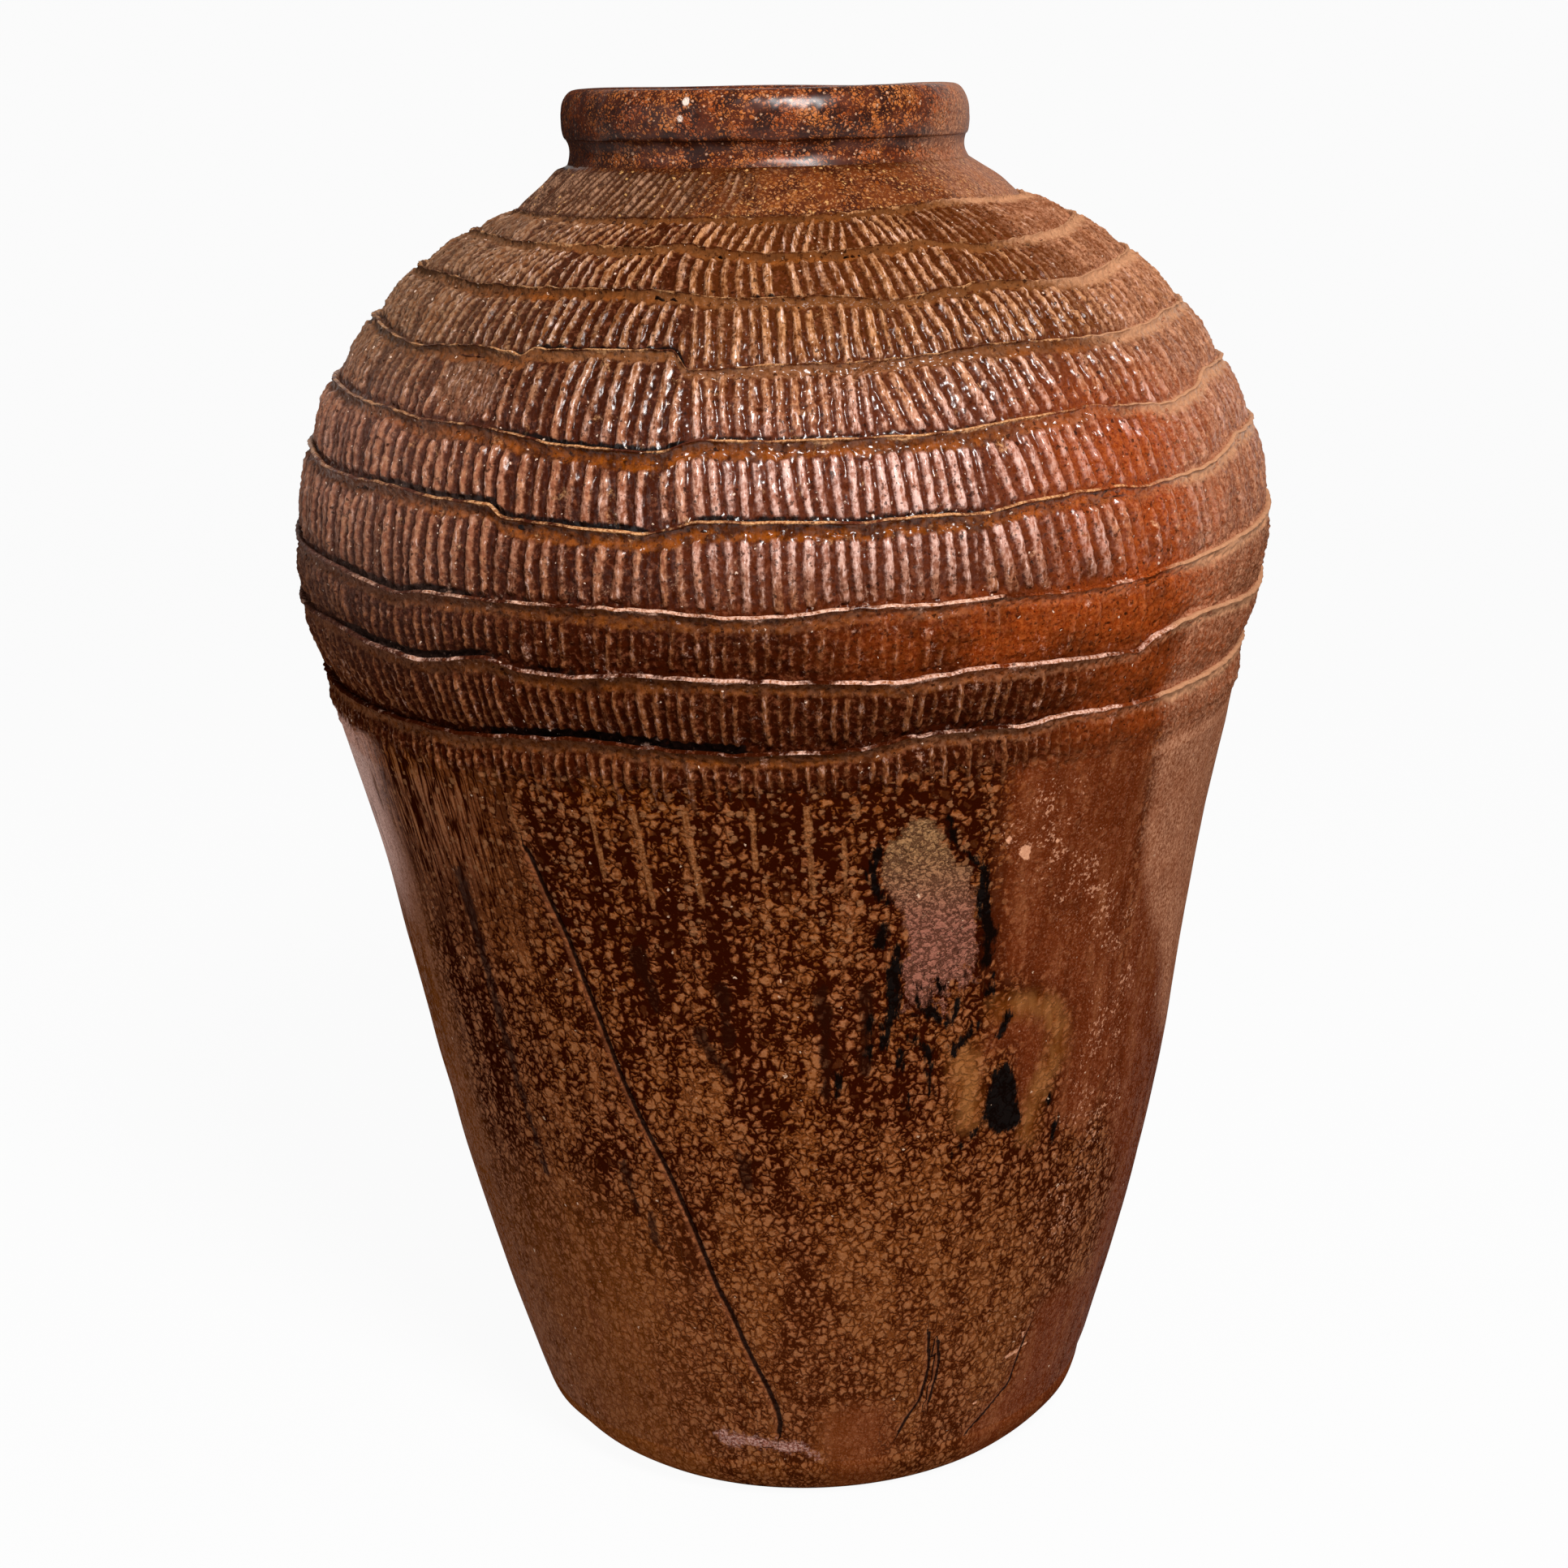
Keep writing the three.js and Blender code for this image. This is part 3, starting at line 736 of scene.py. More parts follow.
def lower_wall():
    """The smoothed rings of the lower wall as one skin, with its glaze runs, bare patch and crack."""
    bottom, top = FLOOR_HEIGHT, RIDGE_HEIGHTS[0]
    last = len(PLAIN_RINGS)
    corners = [(OUTLINE_RADII[0], bottom), (OUTLINE_RADII[last], top), INSIDE[last], INSIDE[0]]
    piece = turned_ring("glazed_lower_wall", corners, WALL_ROWS, PLAIN_SIDES)
    degrees, along = places(piece)
    heights = bottom + np.clip(along, 0, 1) * (top - bottom)
    across = np.radians(degrees) * outline_radius(heights)

    bare = inside_patch(across, heights, BARE_PATCH)
    drips = inside_strokes(across, heights, behind_too(BLACK_STROKES))
    pool = np.maximum(inside_patch(across, heights, TEARDROP), drips)
    run = inside_strokes(across, heights, behind_too(PALE_RUNS))
    crack = np.full(across.shape, FAR, float)
    for line, faintness in [(CRACK, 0), *[(crease, CREASE_FAINTNESS) for crease in CREASES]]:
        distance, _, side = from_line(across, heights, over_the_wall(line))
        distance = distance + faintness
        crack = np.where(distance < np.abs(crack), distance * side, crack)

    swell = 0.45 * unevenness(degrees, heights, 11, 9, 0.02)
    swell = swell + 0.1 * unevenness(degrees, heights, 12, 60, 0.15)
    swell = swell * smoothstep(0, 12, heights - bottom) * smoothstep(0, 12, top - heights)
    marks = 0.6 * smoothstep(-0.9, 0.6, run) - 0.6 * smoothstep(-1.5, 1, bare)
    marks = marks + 0.35 * smoothstep(-1, 1, pool)
    marks = marks - 0.8 * smoothstep(1.8, 0, np.abs(crack))
    radii = outline_radius(heights) + swell + marks

    # Marks outside, of which those in millimetres lie far off the inner face
    inner = along > 1.5
    distances = {
        "bare": bare,
        "pool": pool,
        "run": run,
        "stain": inside_strokes(across, heights, behind_too(STAINS)),
        "chip": inside_strokes(across, heights, PALE_CHIPS),
        "wear": inside_strokes(across, heights, HEEL_WEAR),
        "amber": inside_strokes(across, heights, AMBER_STROKES),
    }
    for name, inside in distances.items():
        set_marks(piece, **{name: np.where(inner, -FAR, inside)})
    from_flecks, _, _ = from_line(across, heights, over_the_wall(FLECK_PATH))
    set_marks(
        piece,
        crack=np.where(inner, FAR, crack),
        glare=glare_at(degrees, heights) * ~inner,
        calm=calm_at(degrees, heights, across) * ~inner,
        dust=dust_at(degrees, heights) * ~inner,
        flecks=smoothstep(FLECK_REACH, 2, from_flecks) * ~inner,
        inside=inner,
    )

    # Inside, the wall is the outline less its thickness
    inner_heights = np.interp(along, [2, 3], [INSIDE[last][1], INSIDE[0][1]])
    inner_radii = np.interp(inner_heights, *zip(*[(height, radius) for radius, height in INSIDE[: last + 1]]))
    radii, heights = np.where(inner, inner_radii, radii), np.where(inner, inner_heights, heights)
    set_shape(piece, degrees, radii, heights)
    return piece


def glare_at(degrees, heights):
    """How far a painted reflection pales the glaze on a strip down the left of the upper wall, from 0 to 1.
    """
    strip = smoothstep(-56, -69, degrees - 0.06 * (heights - 260)) * smoothstep(-92, -76, degrees)
    return strip * smoothstep(205, 245, heights)


def calm_at(degrees, heights, across):
    """Where the glaze lies smooth and uncrawled, from 0 to 1."""
    right_edge = np.interp(heights, [110, 150], [52, 42])
    calm = smoothstep(right_edge, right_edge + 12, degrees) * smoothstep(135, 100, degrees)
    left = smoothstep(-52, -66, degrees) * smoothstep(-135, -100, degrees)
    calm = np.maximum(calm, left * smoothstep(300, 230, heights))
    low_left = smoothstep(-6, -34, degrees) * smoothstep(-150, -110, degrees)
    calm = np.maximum(calm, 0.6 * low_left * smoothstep(170, 90, heights))
    for patch in CALM_PATCHES:
        calm = np.maximum(calm, 0.9 * smoothstep(-12, 9, inside_patch(across, heights, patch)))
    return np.clip(calm, 0, 1)


def clay_foot():
    """The floor of the jar with its rounded heel and bare underside."""
    corners = [(0, 0), (FOOT_RADIUS, 0), (OUTLINE_RADII[0], FLOOR_HEIGHT), (0, FLOOR_HEIGHT)]
    piece = turned_ring("clay_foot", corners, FOOT_ROWS, PLAIN_SIDES)
    degrees, along = places(piece)
    under = np.clip(along, 0, 1)
    heel = np.clip(along - 1, 0, 1)
    over = np.clip(along - 2, 0, 1)
    edge = FOOT_RADIUS + (OUTLINE_RADII[0] - FOOT_RADIUS) * (1 - (1 - heel) ** 1.8)
    radii = np.where(along < 1, FOOT_RADIUS * under, edge * (1 - over))
    hollow = 1.2 * smoothstep(0.93, 0.7, under) * (along < 1)
    heights = FLOOR_HEIGHT * heel + hollow
    worn = 0.35 * unevenness(degrees, heights, 21, 24, 0.1) * np.sin(math.pi * heel)
    at_wall = np.full(degrees.shape, FLOOR_HEIGHT)
    calm = calm_at(degrees, at_wall, np.radians(degrees) * OUTLINE_RADII[0])
    set_marks(piece, calm=calm, glare=0, under=smoothstep(1.06, 0.98, along))
    set_shape(piece, degrees, radii + worn, heights)
    return piece


def glazed_collar():
    """The plain ring between the last stamped ridge and the neck."""
    low, high = RIDGE_HEIGHTS[-1], NECK_FOOT
    foot = on_the_slant(low, high, -FOOT_TUCK, LEDGE)
    corners = [foot, (NECK_ROOT_RADIUS, NECK_FOOT), INSIDE[-1], INSIDE[-2]]
    piece = turned_ring("glazed_collar", corners, COLLAR_ROWS, PLAIN_SIDES)
    degrees, along = places(piece)
    low = ridge_level(len(RIDGE_WAVES), degrees)
    length = np.hypot(outline_radius(high) - outline_radius(low), high - low)
    rise = np.clip(along, 0, 1) * (length + FOOT_TUCK) - FOOT_TUCK
    share = np.clip(rise / length, 0, 1)
    depth = 1.5 * (1 - share) ** 3 + 0.2 * np.sin(math.pi * share)
    depth = depth + 0.2 * unevenness(degrees, rise, 31, 40, 0.3)
    count = degrees / 2.5 - 2 * share + 0.16 * unevenness(degrees, 40 * share, 91, 60, 0.12)
    bars = 1 - smoothstep(0.1, 0.85, np.abs(np.mod(count, 1) - 0.5) * 2)
    bars = bars * np.clip(0.9 + 0.3 * unevenness(degrees, 3 * share, 33, 70, 0.3), 0.3, 1.2)
    fading = 9 * unevenness(degrees, 4 * share, 34, 40, 0.5)
    grooved = smoothstep(12, -34, degrees + fading) * smoothstep(-150, -110, degrees)
    grooved = grooved * smoothstep(1, 0.8, share)
    bars = bars * grooved
    radii, heights = on_the_slant(low, high, rise, (depth - bars) * smoothstep(1, 0.9, share))
    inner = along > 1.5
    inner_radii, inner_heights = along_inside(-1, -2, np.clip(along - 2, 0, 1))
    radii, heights = np.where(inner, inner_radii, radii), np.where(inner, inner_heights, heights)
    # Painted shade under the neck, carried in the pool mark
    painted_shade_under_neck = 0.8 * smoothstep(0.55, 1, share)
    set_marks(
        piece,
        bar=bars * ~inner,
        grooved=grooved * ~inner,
        pool=np.where(along <= 1, smoothstep(2.5, 0.5, rise) + painted_shade_under_neck, 0),
        haze=haze_at(degrees, heights) * ~inner,
        inside=inner,
        dust=dust_at(degrees, heights) * ~inner,
    )
    set_shape(piece, degrees, radii, heights)
    return piece


def glazed_neck():
    """The hollow-sided coil under the rim."""
    corners = [
        (NECK_ROOT_RADIUS, NECK_FOOT),
        (NECK_ROOT_RADIUS, RIM_BOTTOM),
        (MOUTH_RADIUS, RIM_BOTTOM),
        (MOUTH_RADIUS, NECK_INNER_FOOT),
    ]
    piece = turned_ring("glazed_neck", corners, NECK_ROWS, PLAIN_SIDES)
    degrees, along = places(piece)
    climb = np.clip(along, 0, 1)
    inner = along > 1.5
    waist = NECK_WAIST_RADIUS + (NECK_ROOT_RADIUS - NECK_WAIST_RADIUS) * (2 * climb - 1) ** 2
    heights = np.interp(along, [0, 1, 2, 3], [NECK_FOOT, RIM_BOTTOM, RIM_BOTTOM, NECK_INNER_FOOT])
    wobble = 0.25 * unevenness(degrees, heights, 41, 30, 0.3) * np.sin(math.pi * climb)
    radii = np.where(inner, MOUTH_RADIUS, waist + wobble)
    set_marks(
        piece,
        chip=-FAR,
        # Painted shade in the crease under the rim and at the neck's foot
        shade=smoothstep(0.35, 0.9, climb) + smoothstep(0.3, 0, climb),
        haze=haze_at(degrees, heights) * ~inner,
        inside=inner,
        dust=dust_at(degrees, heights) * ~inner,
    )
    set_shape(piece, degrees, radii, heights)
    return piece


def glazed_rim():
    """The thick rolled lip of the mouth."""
    rounding = (RIM_RADIUS - MOUTH_RADIUS) / 3
    swell_height = (RIM_TOP - RIM_BOTTOM) * RIM_SWELL_SHARE
    swell = RIM_RADIUS - RIM_TRIM
    corners = [
        (NECK_ROOT_RADIUS, RIM_BOTTOM),
        (swell, RIM_BOTTOM + swell_height),
        (swell - rounding, RIM_TOP),
        (MOUTH_RADIUS + rounding, RIM_TOP),
        (MOUTH_RADIUS, RIM_TOP - rounding),
        (MOUTH_RADIUS, RIM_BOTTOM),
    ]
    piece = turned_ring("glazed_rim", corners, RIM_ROWS, PLAIN_SIDES)
    degrees, along = places(piece)
    stretch = np.clip(np.floor(along), 0, 4).astype(int)
    t = along - stretch
    corner_radii, corner_heights = np.array(corners).T
    quarter = t * math.pi / 2
    bow_out, bow_up = np.sin(quarter), 1 - np.cos(quarter)
    share_out = np.select([stretch == 0, stretch == 1, stretch == 3], [bow_out, bow_up, bow_out], t)
    share_up = np.select([stretch == 0, stretch == 1, stretch == 3], [bow_up, bow_out, bow_up], t)
    radii = corner_radii[stretch] + share_out * (corner_radii[stretch + 1] - corner_radii[stretch])
    heights = corner_heights[stretch] + share_up * (corner_heights[stretch + 1] - corner_heights[stretch])
    free = smoothstep(0, 0.6, along) * smoothstep(5, 4.4, along)
    swells = 0.3 * unevenness(degrees, heights, 51, 22, 0.1)
    swells = swells + 0.08 * unevenness(degrees, heights, 52, 90, 0.9)
    radii = radii + free * swells
    waves = free * 0.35 * unevenness(degrees, 0, 53, 8, 0)
    heights = heights + waves * smoothstep(RIM_BOTTOM, RIM_TOP, heights)
    chips = np.full(degrees.shape, -FAR, float)
    for at, height, half_width in RIM_CHIPS:
        distance = np.hypot(np.radians(degrees - at) * RIM_RADIUS, heights - height)
        chips = np.maximum(chips, half_width - distance)
    set_marks(
        piece,
        chip=chips,
        # Painted shade on the underside of the roll
        shade=smoothstep(0.85, 0.2, along),
        inside=smoothstep(3.4, 4, along),
        haze=haze_at(degrees, heights),
        dust=dust_at(degrees, heights) * (along < 4),
    )
    set_shape(piece, degrees, radii, heights)
    return piece


# Finishes


def tone(red, green, blue):
    """A colour as it looks, on a scale of 255, as the shader takes it."""
    values = np.array([red, green, blue]) / 255
    linear = np.where(values <= 0.04045, values / 12.92, ((values + 0.055) / 1.055) ** 2.4)
    return (*linear.tolist(), 1)


def put(kind, settings=None, inputs=None, tree=None):
    """Places a node with its settings and its inputs, each of which is a value or another node's output.

    It goes into the tree that those outputs belong to, unless a tree is given.
    """
    inputs = inputs or {}
    if tree is None:
        tree = next(value.id_data for value in inputs.values() if isinstance(value, bpy.types.NodeSocket))
    node = tree.nodes.new("ShaderNode" + kind)
    for name, value in (settings or {}).items():
        setattr(node, name, value)
    for name, value in inputs.items():
        if isinstance(value, bpy.types.NodeSocket):
            tree.links.new(value, node.inputs[name])
        else:
            node.inputs[name].default_value = value
    return node


def maths(operation, first, second=0):
    return put("Math", {"operation": operation}, {0: first, 1: second}).outputs[0]


def times(first, second):
    return maths("MULTIPLY", first, second)


def plus(first, second):
    return maths("ADD", first, second)


def rest_of(value):
    """What a share leaves of 1."""
    return maths("SUBTRACT", 1, value)


def vectors(operation, *values):
    return put("VectorMath", {"operation": operation}, dict(enumerate(values))).outputs[0]


def rises(value, low, high, to=1):
    """0 below low and the full amount above high, with a soft step between."""
    inputs = {"Value": value, "From Min": low, "From Max": high, "To Max": to}
    return put("MapRange", {"interpolation_type": "SMOOTHSTEP"}, inputs).outputs[0]


def runs(value, low, high, start, end):
    """From one amount to another in a straight line."""
    inputs = {"Value": value, "From Min": low, "From Max": high, "To Min": start, "To Max": end}
    return put("MapRange", None, inputs).outputs[0]


def laid_over(share, under, over):
    """One colour laid over another by a share."""
    return put("Mix", {"data_type": "RGBA"}, {0: share, 6: under, 7: over}).outputs[2]


def coated(colour, *coats):
    """A colour under some coats, each given as its share and its own colour."""
    for share, coat in coats:
        colour = laid_over(share, colour, coat)
    return colour


def between(share, low, high):
    return put("Mix", {"data_type": "FLOAT"}, {0: share, 2: low, 3: high}).outputs[0]


def mark(tree, name):
    """The value that a piece's vertices keep under this name, or 0 where they keep none."""
    return put("Attribute", {"attribute_name": name}, tree=tree).outputs["Fac"]


def noise(where, size, detail=3, roughness=0.55):
    """Cloudy noise whose clouds are about this many millimetres wide."""
    inputs = {"Vector": where, "Scale": 1 / size, "Detail": detail, "Roughness": roughness}
    return put("TexNoise", None, inputs).outputs["Fac"]


def swing(where, size, reach, detail=4, roughness=0.65):
    """Cloudy noise that swings about nought, to roughen an edge by about this reach."""
    return times(plus(noise(where, size, detail, roughness), -0.5), reach * 4)


def millimetres(tree, stretch=1):
    """Places on the jar in millimetres. A stretch under 1 draws patterns out downwards."""
    coordinates = put("TexCoord", tree=tree).outputs["Object"]
    scale = (1 / MM, 1 / MM, stretch / MM)
    return put("Mapping", None, {"Vector": coordinates, "Scale": scale}).outputs["Vector"]


def down_the_wall(tree, stretch=1):
    """Places in millimetres round the belly and up the jar, so that patterns follow the wall's flare."""
    coordinates = put("TexCoord", tree=tree).outputs["Object"]
    outward = vectors("NORMALIZE", vectors("MULTIPLY", coordinates, (1, 1, 0)))
    upward = vectors("MULTIPLY", coordinates, (0, 0, stretch / MM))
    return vectors("MULTIPLY_ADD", outward, (BELLY_RADIUS, BELLY_RADIUS, 0), upward)


def side_and_level(where):
    """How far to the right a place is, and how high."""
    parts = put("SeparateXYZ", None, {0: where}).outputs
    return parts["X"], parts["Z"]


def new_group(name, inputs, outputs):
    """A shader node group with named sockets, and its two ends."""
    group = bpy.data.node_groups.new(name, "ShaderNodeTree")
    for label, kind, value in inputs:
        socket = group.interface.new_socket(label, in_out="INPUT", socket_type="NodeSocket" + kind)
        if value is not None:
            socket.default_value = value
    for label, kind in outputs:
        group.interface.new_socket(label, in_out="OUTPUT", socket_type="NodeSocket" + kind)
    return group, group.nodes.new("NodeGroupInput").outputs, group.nodes.new("NodeGroupOutput").inputs


def stirred(where, scale, reach):
    """Places pushed about by noise, so that the cells drawn on them are uneven."""
    stirring = put("TexNoise", None, {"Vector": where, "Scale": scale, "Detail": 2}).outputs["Color"]
    offset = put("VectorMath", {"operation": "SCALE"}, {0: stirring, "Scale": reach}).outputs[0]
    return vectors("ADD", where, offset)


def crawled_glaze_group():
    """Glaze drawn up into pale blobs, with dark gaps between them."""
    inputs = [("Where", "Vector", None), ("Blob Size", "Float", 2.0), ("Dark Share", "Float", 0.5)]
    group, given, made = new_group("crawled_glaze", inputs, [("Blob", "Float"), ("Relief", "Float")])
    scaled = vectors("DIVIDE", given["Where"], given["Blob Size"])
    cells = {"Vector": stirred(scaled, 1.1, 1.6), "Scale": 1}
    edges = put("TexVoronoi", {"feature": "DISTANCE_TO_EDGE"}, cells).outputs["Distance"]
    chance = put("SeparateColor", None, {"Color": put("TexVoronoi", None, cells).outputs["Color"]}).outputs[0]
    gap = runs(given["Dark Share"], 0, 1, -0.05, 0.3)
    from_edge = maths("SUBTRACT", plus(edges, swing(scaled, 1.6, 0.13)), gap)
    lost = maths("SUBTRACT", runs(given["Dark Share"], 0, 1, -0.42, 0.8), chance)
    kept = rest_of(times(rises(lost, -0.05, 0.15), 0.8))
    group.links.new(times(rises(from_edge, -0.04, 0.09), kept), made["Blob"])
    group.links.new(times(rises(from_edge, -0.05, 0.25), kept), made["Relief"])
    return group


def specks_group():
    """Small round specks scattered over the surface."""
    inputs = [
        ("Where", "Vector", None),
        ("Spacing", "Float", 3.0),
        ("Size", "Float", 0.2),
        ("Share", "Float", 0.3),
    ]
    group, given, made = new_group("kiln_specks", inputs, [("Specks", "Float")])
    scaled = vectors("DIVIDE", given["Where"], given["Spacing"])
    cells = put("TexVoronoi", None, {"Vector": stirred(scaled, 3, 0.5), "Scale": 1}).outputs
    chance = put("SeparateColor", None, {"Color": cells["Color"]}).outputs
    chosen = maths("LESS_THAN", chance[0], given["Share"])
    size = times(given["Size"], plus(chance[1], 0.4))
    near = rises(cells["Distance"], size, times(size, 0.6))
    group.links.new(times(chosen, near), made["Specks"])
    return group


def settled_dust_group():
    """Grainy dust that covers a surface by a given amount."""
    inputs = [("Where", "Vector", None), ("Amount", "Float", 0.0)]
    group, given, made = new_group("settled_dust", inputs, [("Cover", "Float"), ("Dust Colour", "Color")])
    where = given["Where"]
    grain = noise(where, 1.3, 4, 0.75)
    uneven = plus(swing(where, 1.3, 0.3, 4, 0.75), swing(where, 12, 0.12))
    thickness = plus(given["Amount"], uneven)
    cover = times(rises(thickness, 0.1, 0.95, 0.92), rises(given["Amount"], 0.02, 0.3))
    pale = laid_over(rises(grain, 0.3, 0.7), tone(134, 76, 48), tone(204, 146, 112))
    clouded = laid_over(rises(noise(where, 14), 0.4, 0.7, 0.5), pale, tone(150, 88, 58))
    group.links.new(cover, made["Cover"])
    group.links.new(clouded, made["Dust Colour"])
    return group


CRAWLED = crawled_glaze_group()
SPECKS = specks_group()
DUST = settled_dust_group()


def crawled(where, size, dark_share):
    """Pale blobs of crawled glaze of about this size, and their relief."""
    inputs = {"Where": where, "Blob Size": size, "Dark Share": dark_share}
    made = put("Group", {"node_tree": CRAWLED}, inputs).outputs
    return made["Blob"], made["Relief"]


def specks_on(where, spacing, size, share):
    """Specks with this spacing in millimetres, and the share of places that have one."""
    inputs = {"Where": where, "Spacing": spacing, "Size": size, "Share": share}
    return put("Group", {"node_tree": SPECKS}, inputs).outputs["Specks"]


def dusted(colour, where, amount):
    """A colour under settled dust, and how far the dust covers it."""
    dust = put("Group", {"node_tree": DUST}, {"Where": where, "Amount": amount}).outputs
    return laid_over(dust["Cover"], colour, dust["Dust Colour"]), dust["Cover"]


def new_finish(name, softness=0.2):
    """A material, its node tree and its shader. Gloss comes from the coat alone."""
    material = bpy.data.materials.new(name)
    material.use_nodes = True
    shader = material.node_tree.nodes["Principled BSDF"]
    shader.inputs["Specular IOR Level"].default_value = 0
    shader.inputs["Coat Roughness"].default_value = softness
    return material, material.node_tree, shader


def finish_surface(shader, colour, roughness, lift, bump, wet=None):
    """Wires a finish into its shader. The bump's full height is in millimetres."""
    normal = put("Bump", None, {"Height": lift, "Strength": 0.8, "Distance": bump * MM}).outputs["Normal"]
    wires = {"Base Color": colour, "Roughness": roughness, "Normal": normal, "Coat Weight": wet}
    for name, output in wires.items():
        if output is not None:
            shader.id_data.links.new(output, shader.inputs[name])


def inside_glaze(tree, where, colour):
    """The inner wall is thinly washed with the same glaze, matt and plain."""
    wash = laid_over(noise(where, 12), tone(70, 36, 20), tone(112, 64, 40))
    return laid_over(mark(tree, "inside"), colour, wash)


def wall_glaze(tree):
    """Colour, pale blobs and relief of the crawled glaze on plain walls.

    It is dark and beaded near the top, and calm to the sides.
    """
    where, trailing = down_the_wall(tree), down_the_wall(tree, 0.12)
    side, level = side_and_level(where)
    grain = noise(where, 0.8, 4, 0.7)
    cloud = noise(down_the_wall(tree, 0.35), 22, 4, 0.6)
    drawn = noise(down_the_wall(tree, 0.3), 8, 4, 0.65)
    dribbles = noise(down_the_wall(tree, 0.1), 6.5, 3, 0.6)
    upper = rises(plus(level, swing(trailing, 10, 10)), 205, 262)

    # Crawled glaze, drawn out into streaks on the upper left
    dark_share = plus(runs(level, 30, 265, 0.2, 0.5), times(plus(cloud, -0.5), 0.9))
    dribbled = times(rises(level, 110, 215, 1.7), plus(dribbles, -0.5))
    blob, relief = crawled(where, 3.5, plus(dark_share, dribbled))
    streak, streak_relief = crawled(trailing, 2.6, 0.32)
    streaky = times(upper, rises(side, -74, -104))
    blob = between(streaky, blob, streak)
    relief = between(streaky, relief, streak_relief)
    # Blobs are painted darker at their edges and paler on their crowns, as shade and highlight on their
    # relief
    pale = coated(
        laid_over(rises(cloud, 0.4, 0.62), tone(120, 62, 20), tone(126, 68, 36)),
        (rises(noise(where, 3.2), 0.5, 0.36, 0.75), tone(88, 42, 12)),
        (rises(grain, 0.48, 0.7, 0.75), tone(160, 108, 76)),
        (rises(relief, 0.95, 0.4, 0.6), tone(102, 50, 15)),
        (rises(relief, 0.8, 1, 0.35), tone(170, 112, 70)),
    )
    gap = laid_over(rises(level, 60, 170), tone(62, 23, 5), tone(42, 9, 1))
    beads = specks_on(where, 2.9, 0.4, times(upper, 0.5))

    # Calm glaze at the sides, and a painted reflection: a paler strip where the light slides off it
    smooth = coated(
        laid_over(rises(side, -60, 60), tone(124, 66, 21), tone(106, 44, 16)),
        (rises(drawn, 0.5, 0.72, 0.7), tone(142, 80, 46)),
        (rises(drawn, 0.5, 0.32, 0.5), tone(74, 27, 8)),
        (rises(grain, 0.48, 0.3, 0.65), tone(62, 22, 6)),
        (rises(grain, 0.52, 0.72, 0.7), tone(168, 110, 80)),
    )
    quiet = rises(plus(mark(tree, "calm"), swing(trailing, 6, 0.14)), 0.1, 1, 0.78)
    patchy = times(rises(grain, 0.28, 0.58, 0.95), rises(drawn, 0.3, 0.5))
    colour = coated(
        gap,
        (blob, pale),
        (times(beads, 0.75), tone(142, 92, 58)),
        (quiet, smooth),
        (times(mark(tree, "glare"), patchy), tone(222, 172, 156)),
    )
    return colour, blob, between(quiet, plus(relief, times(beads, 0.8)), 0.6)


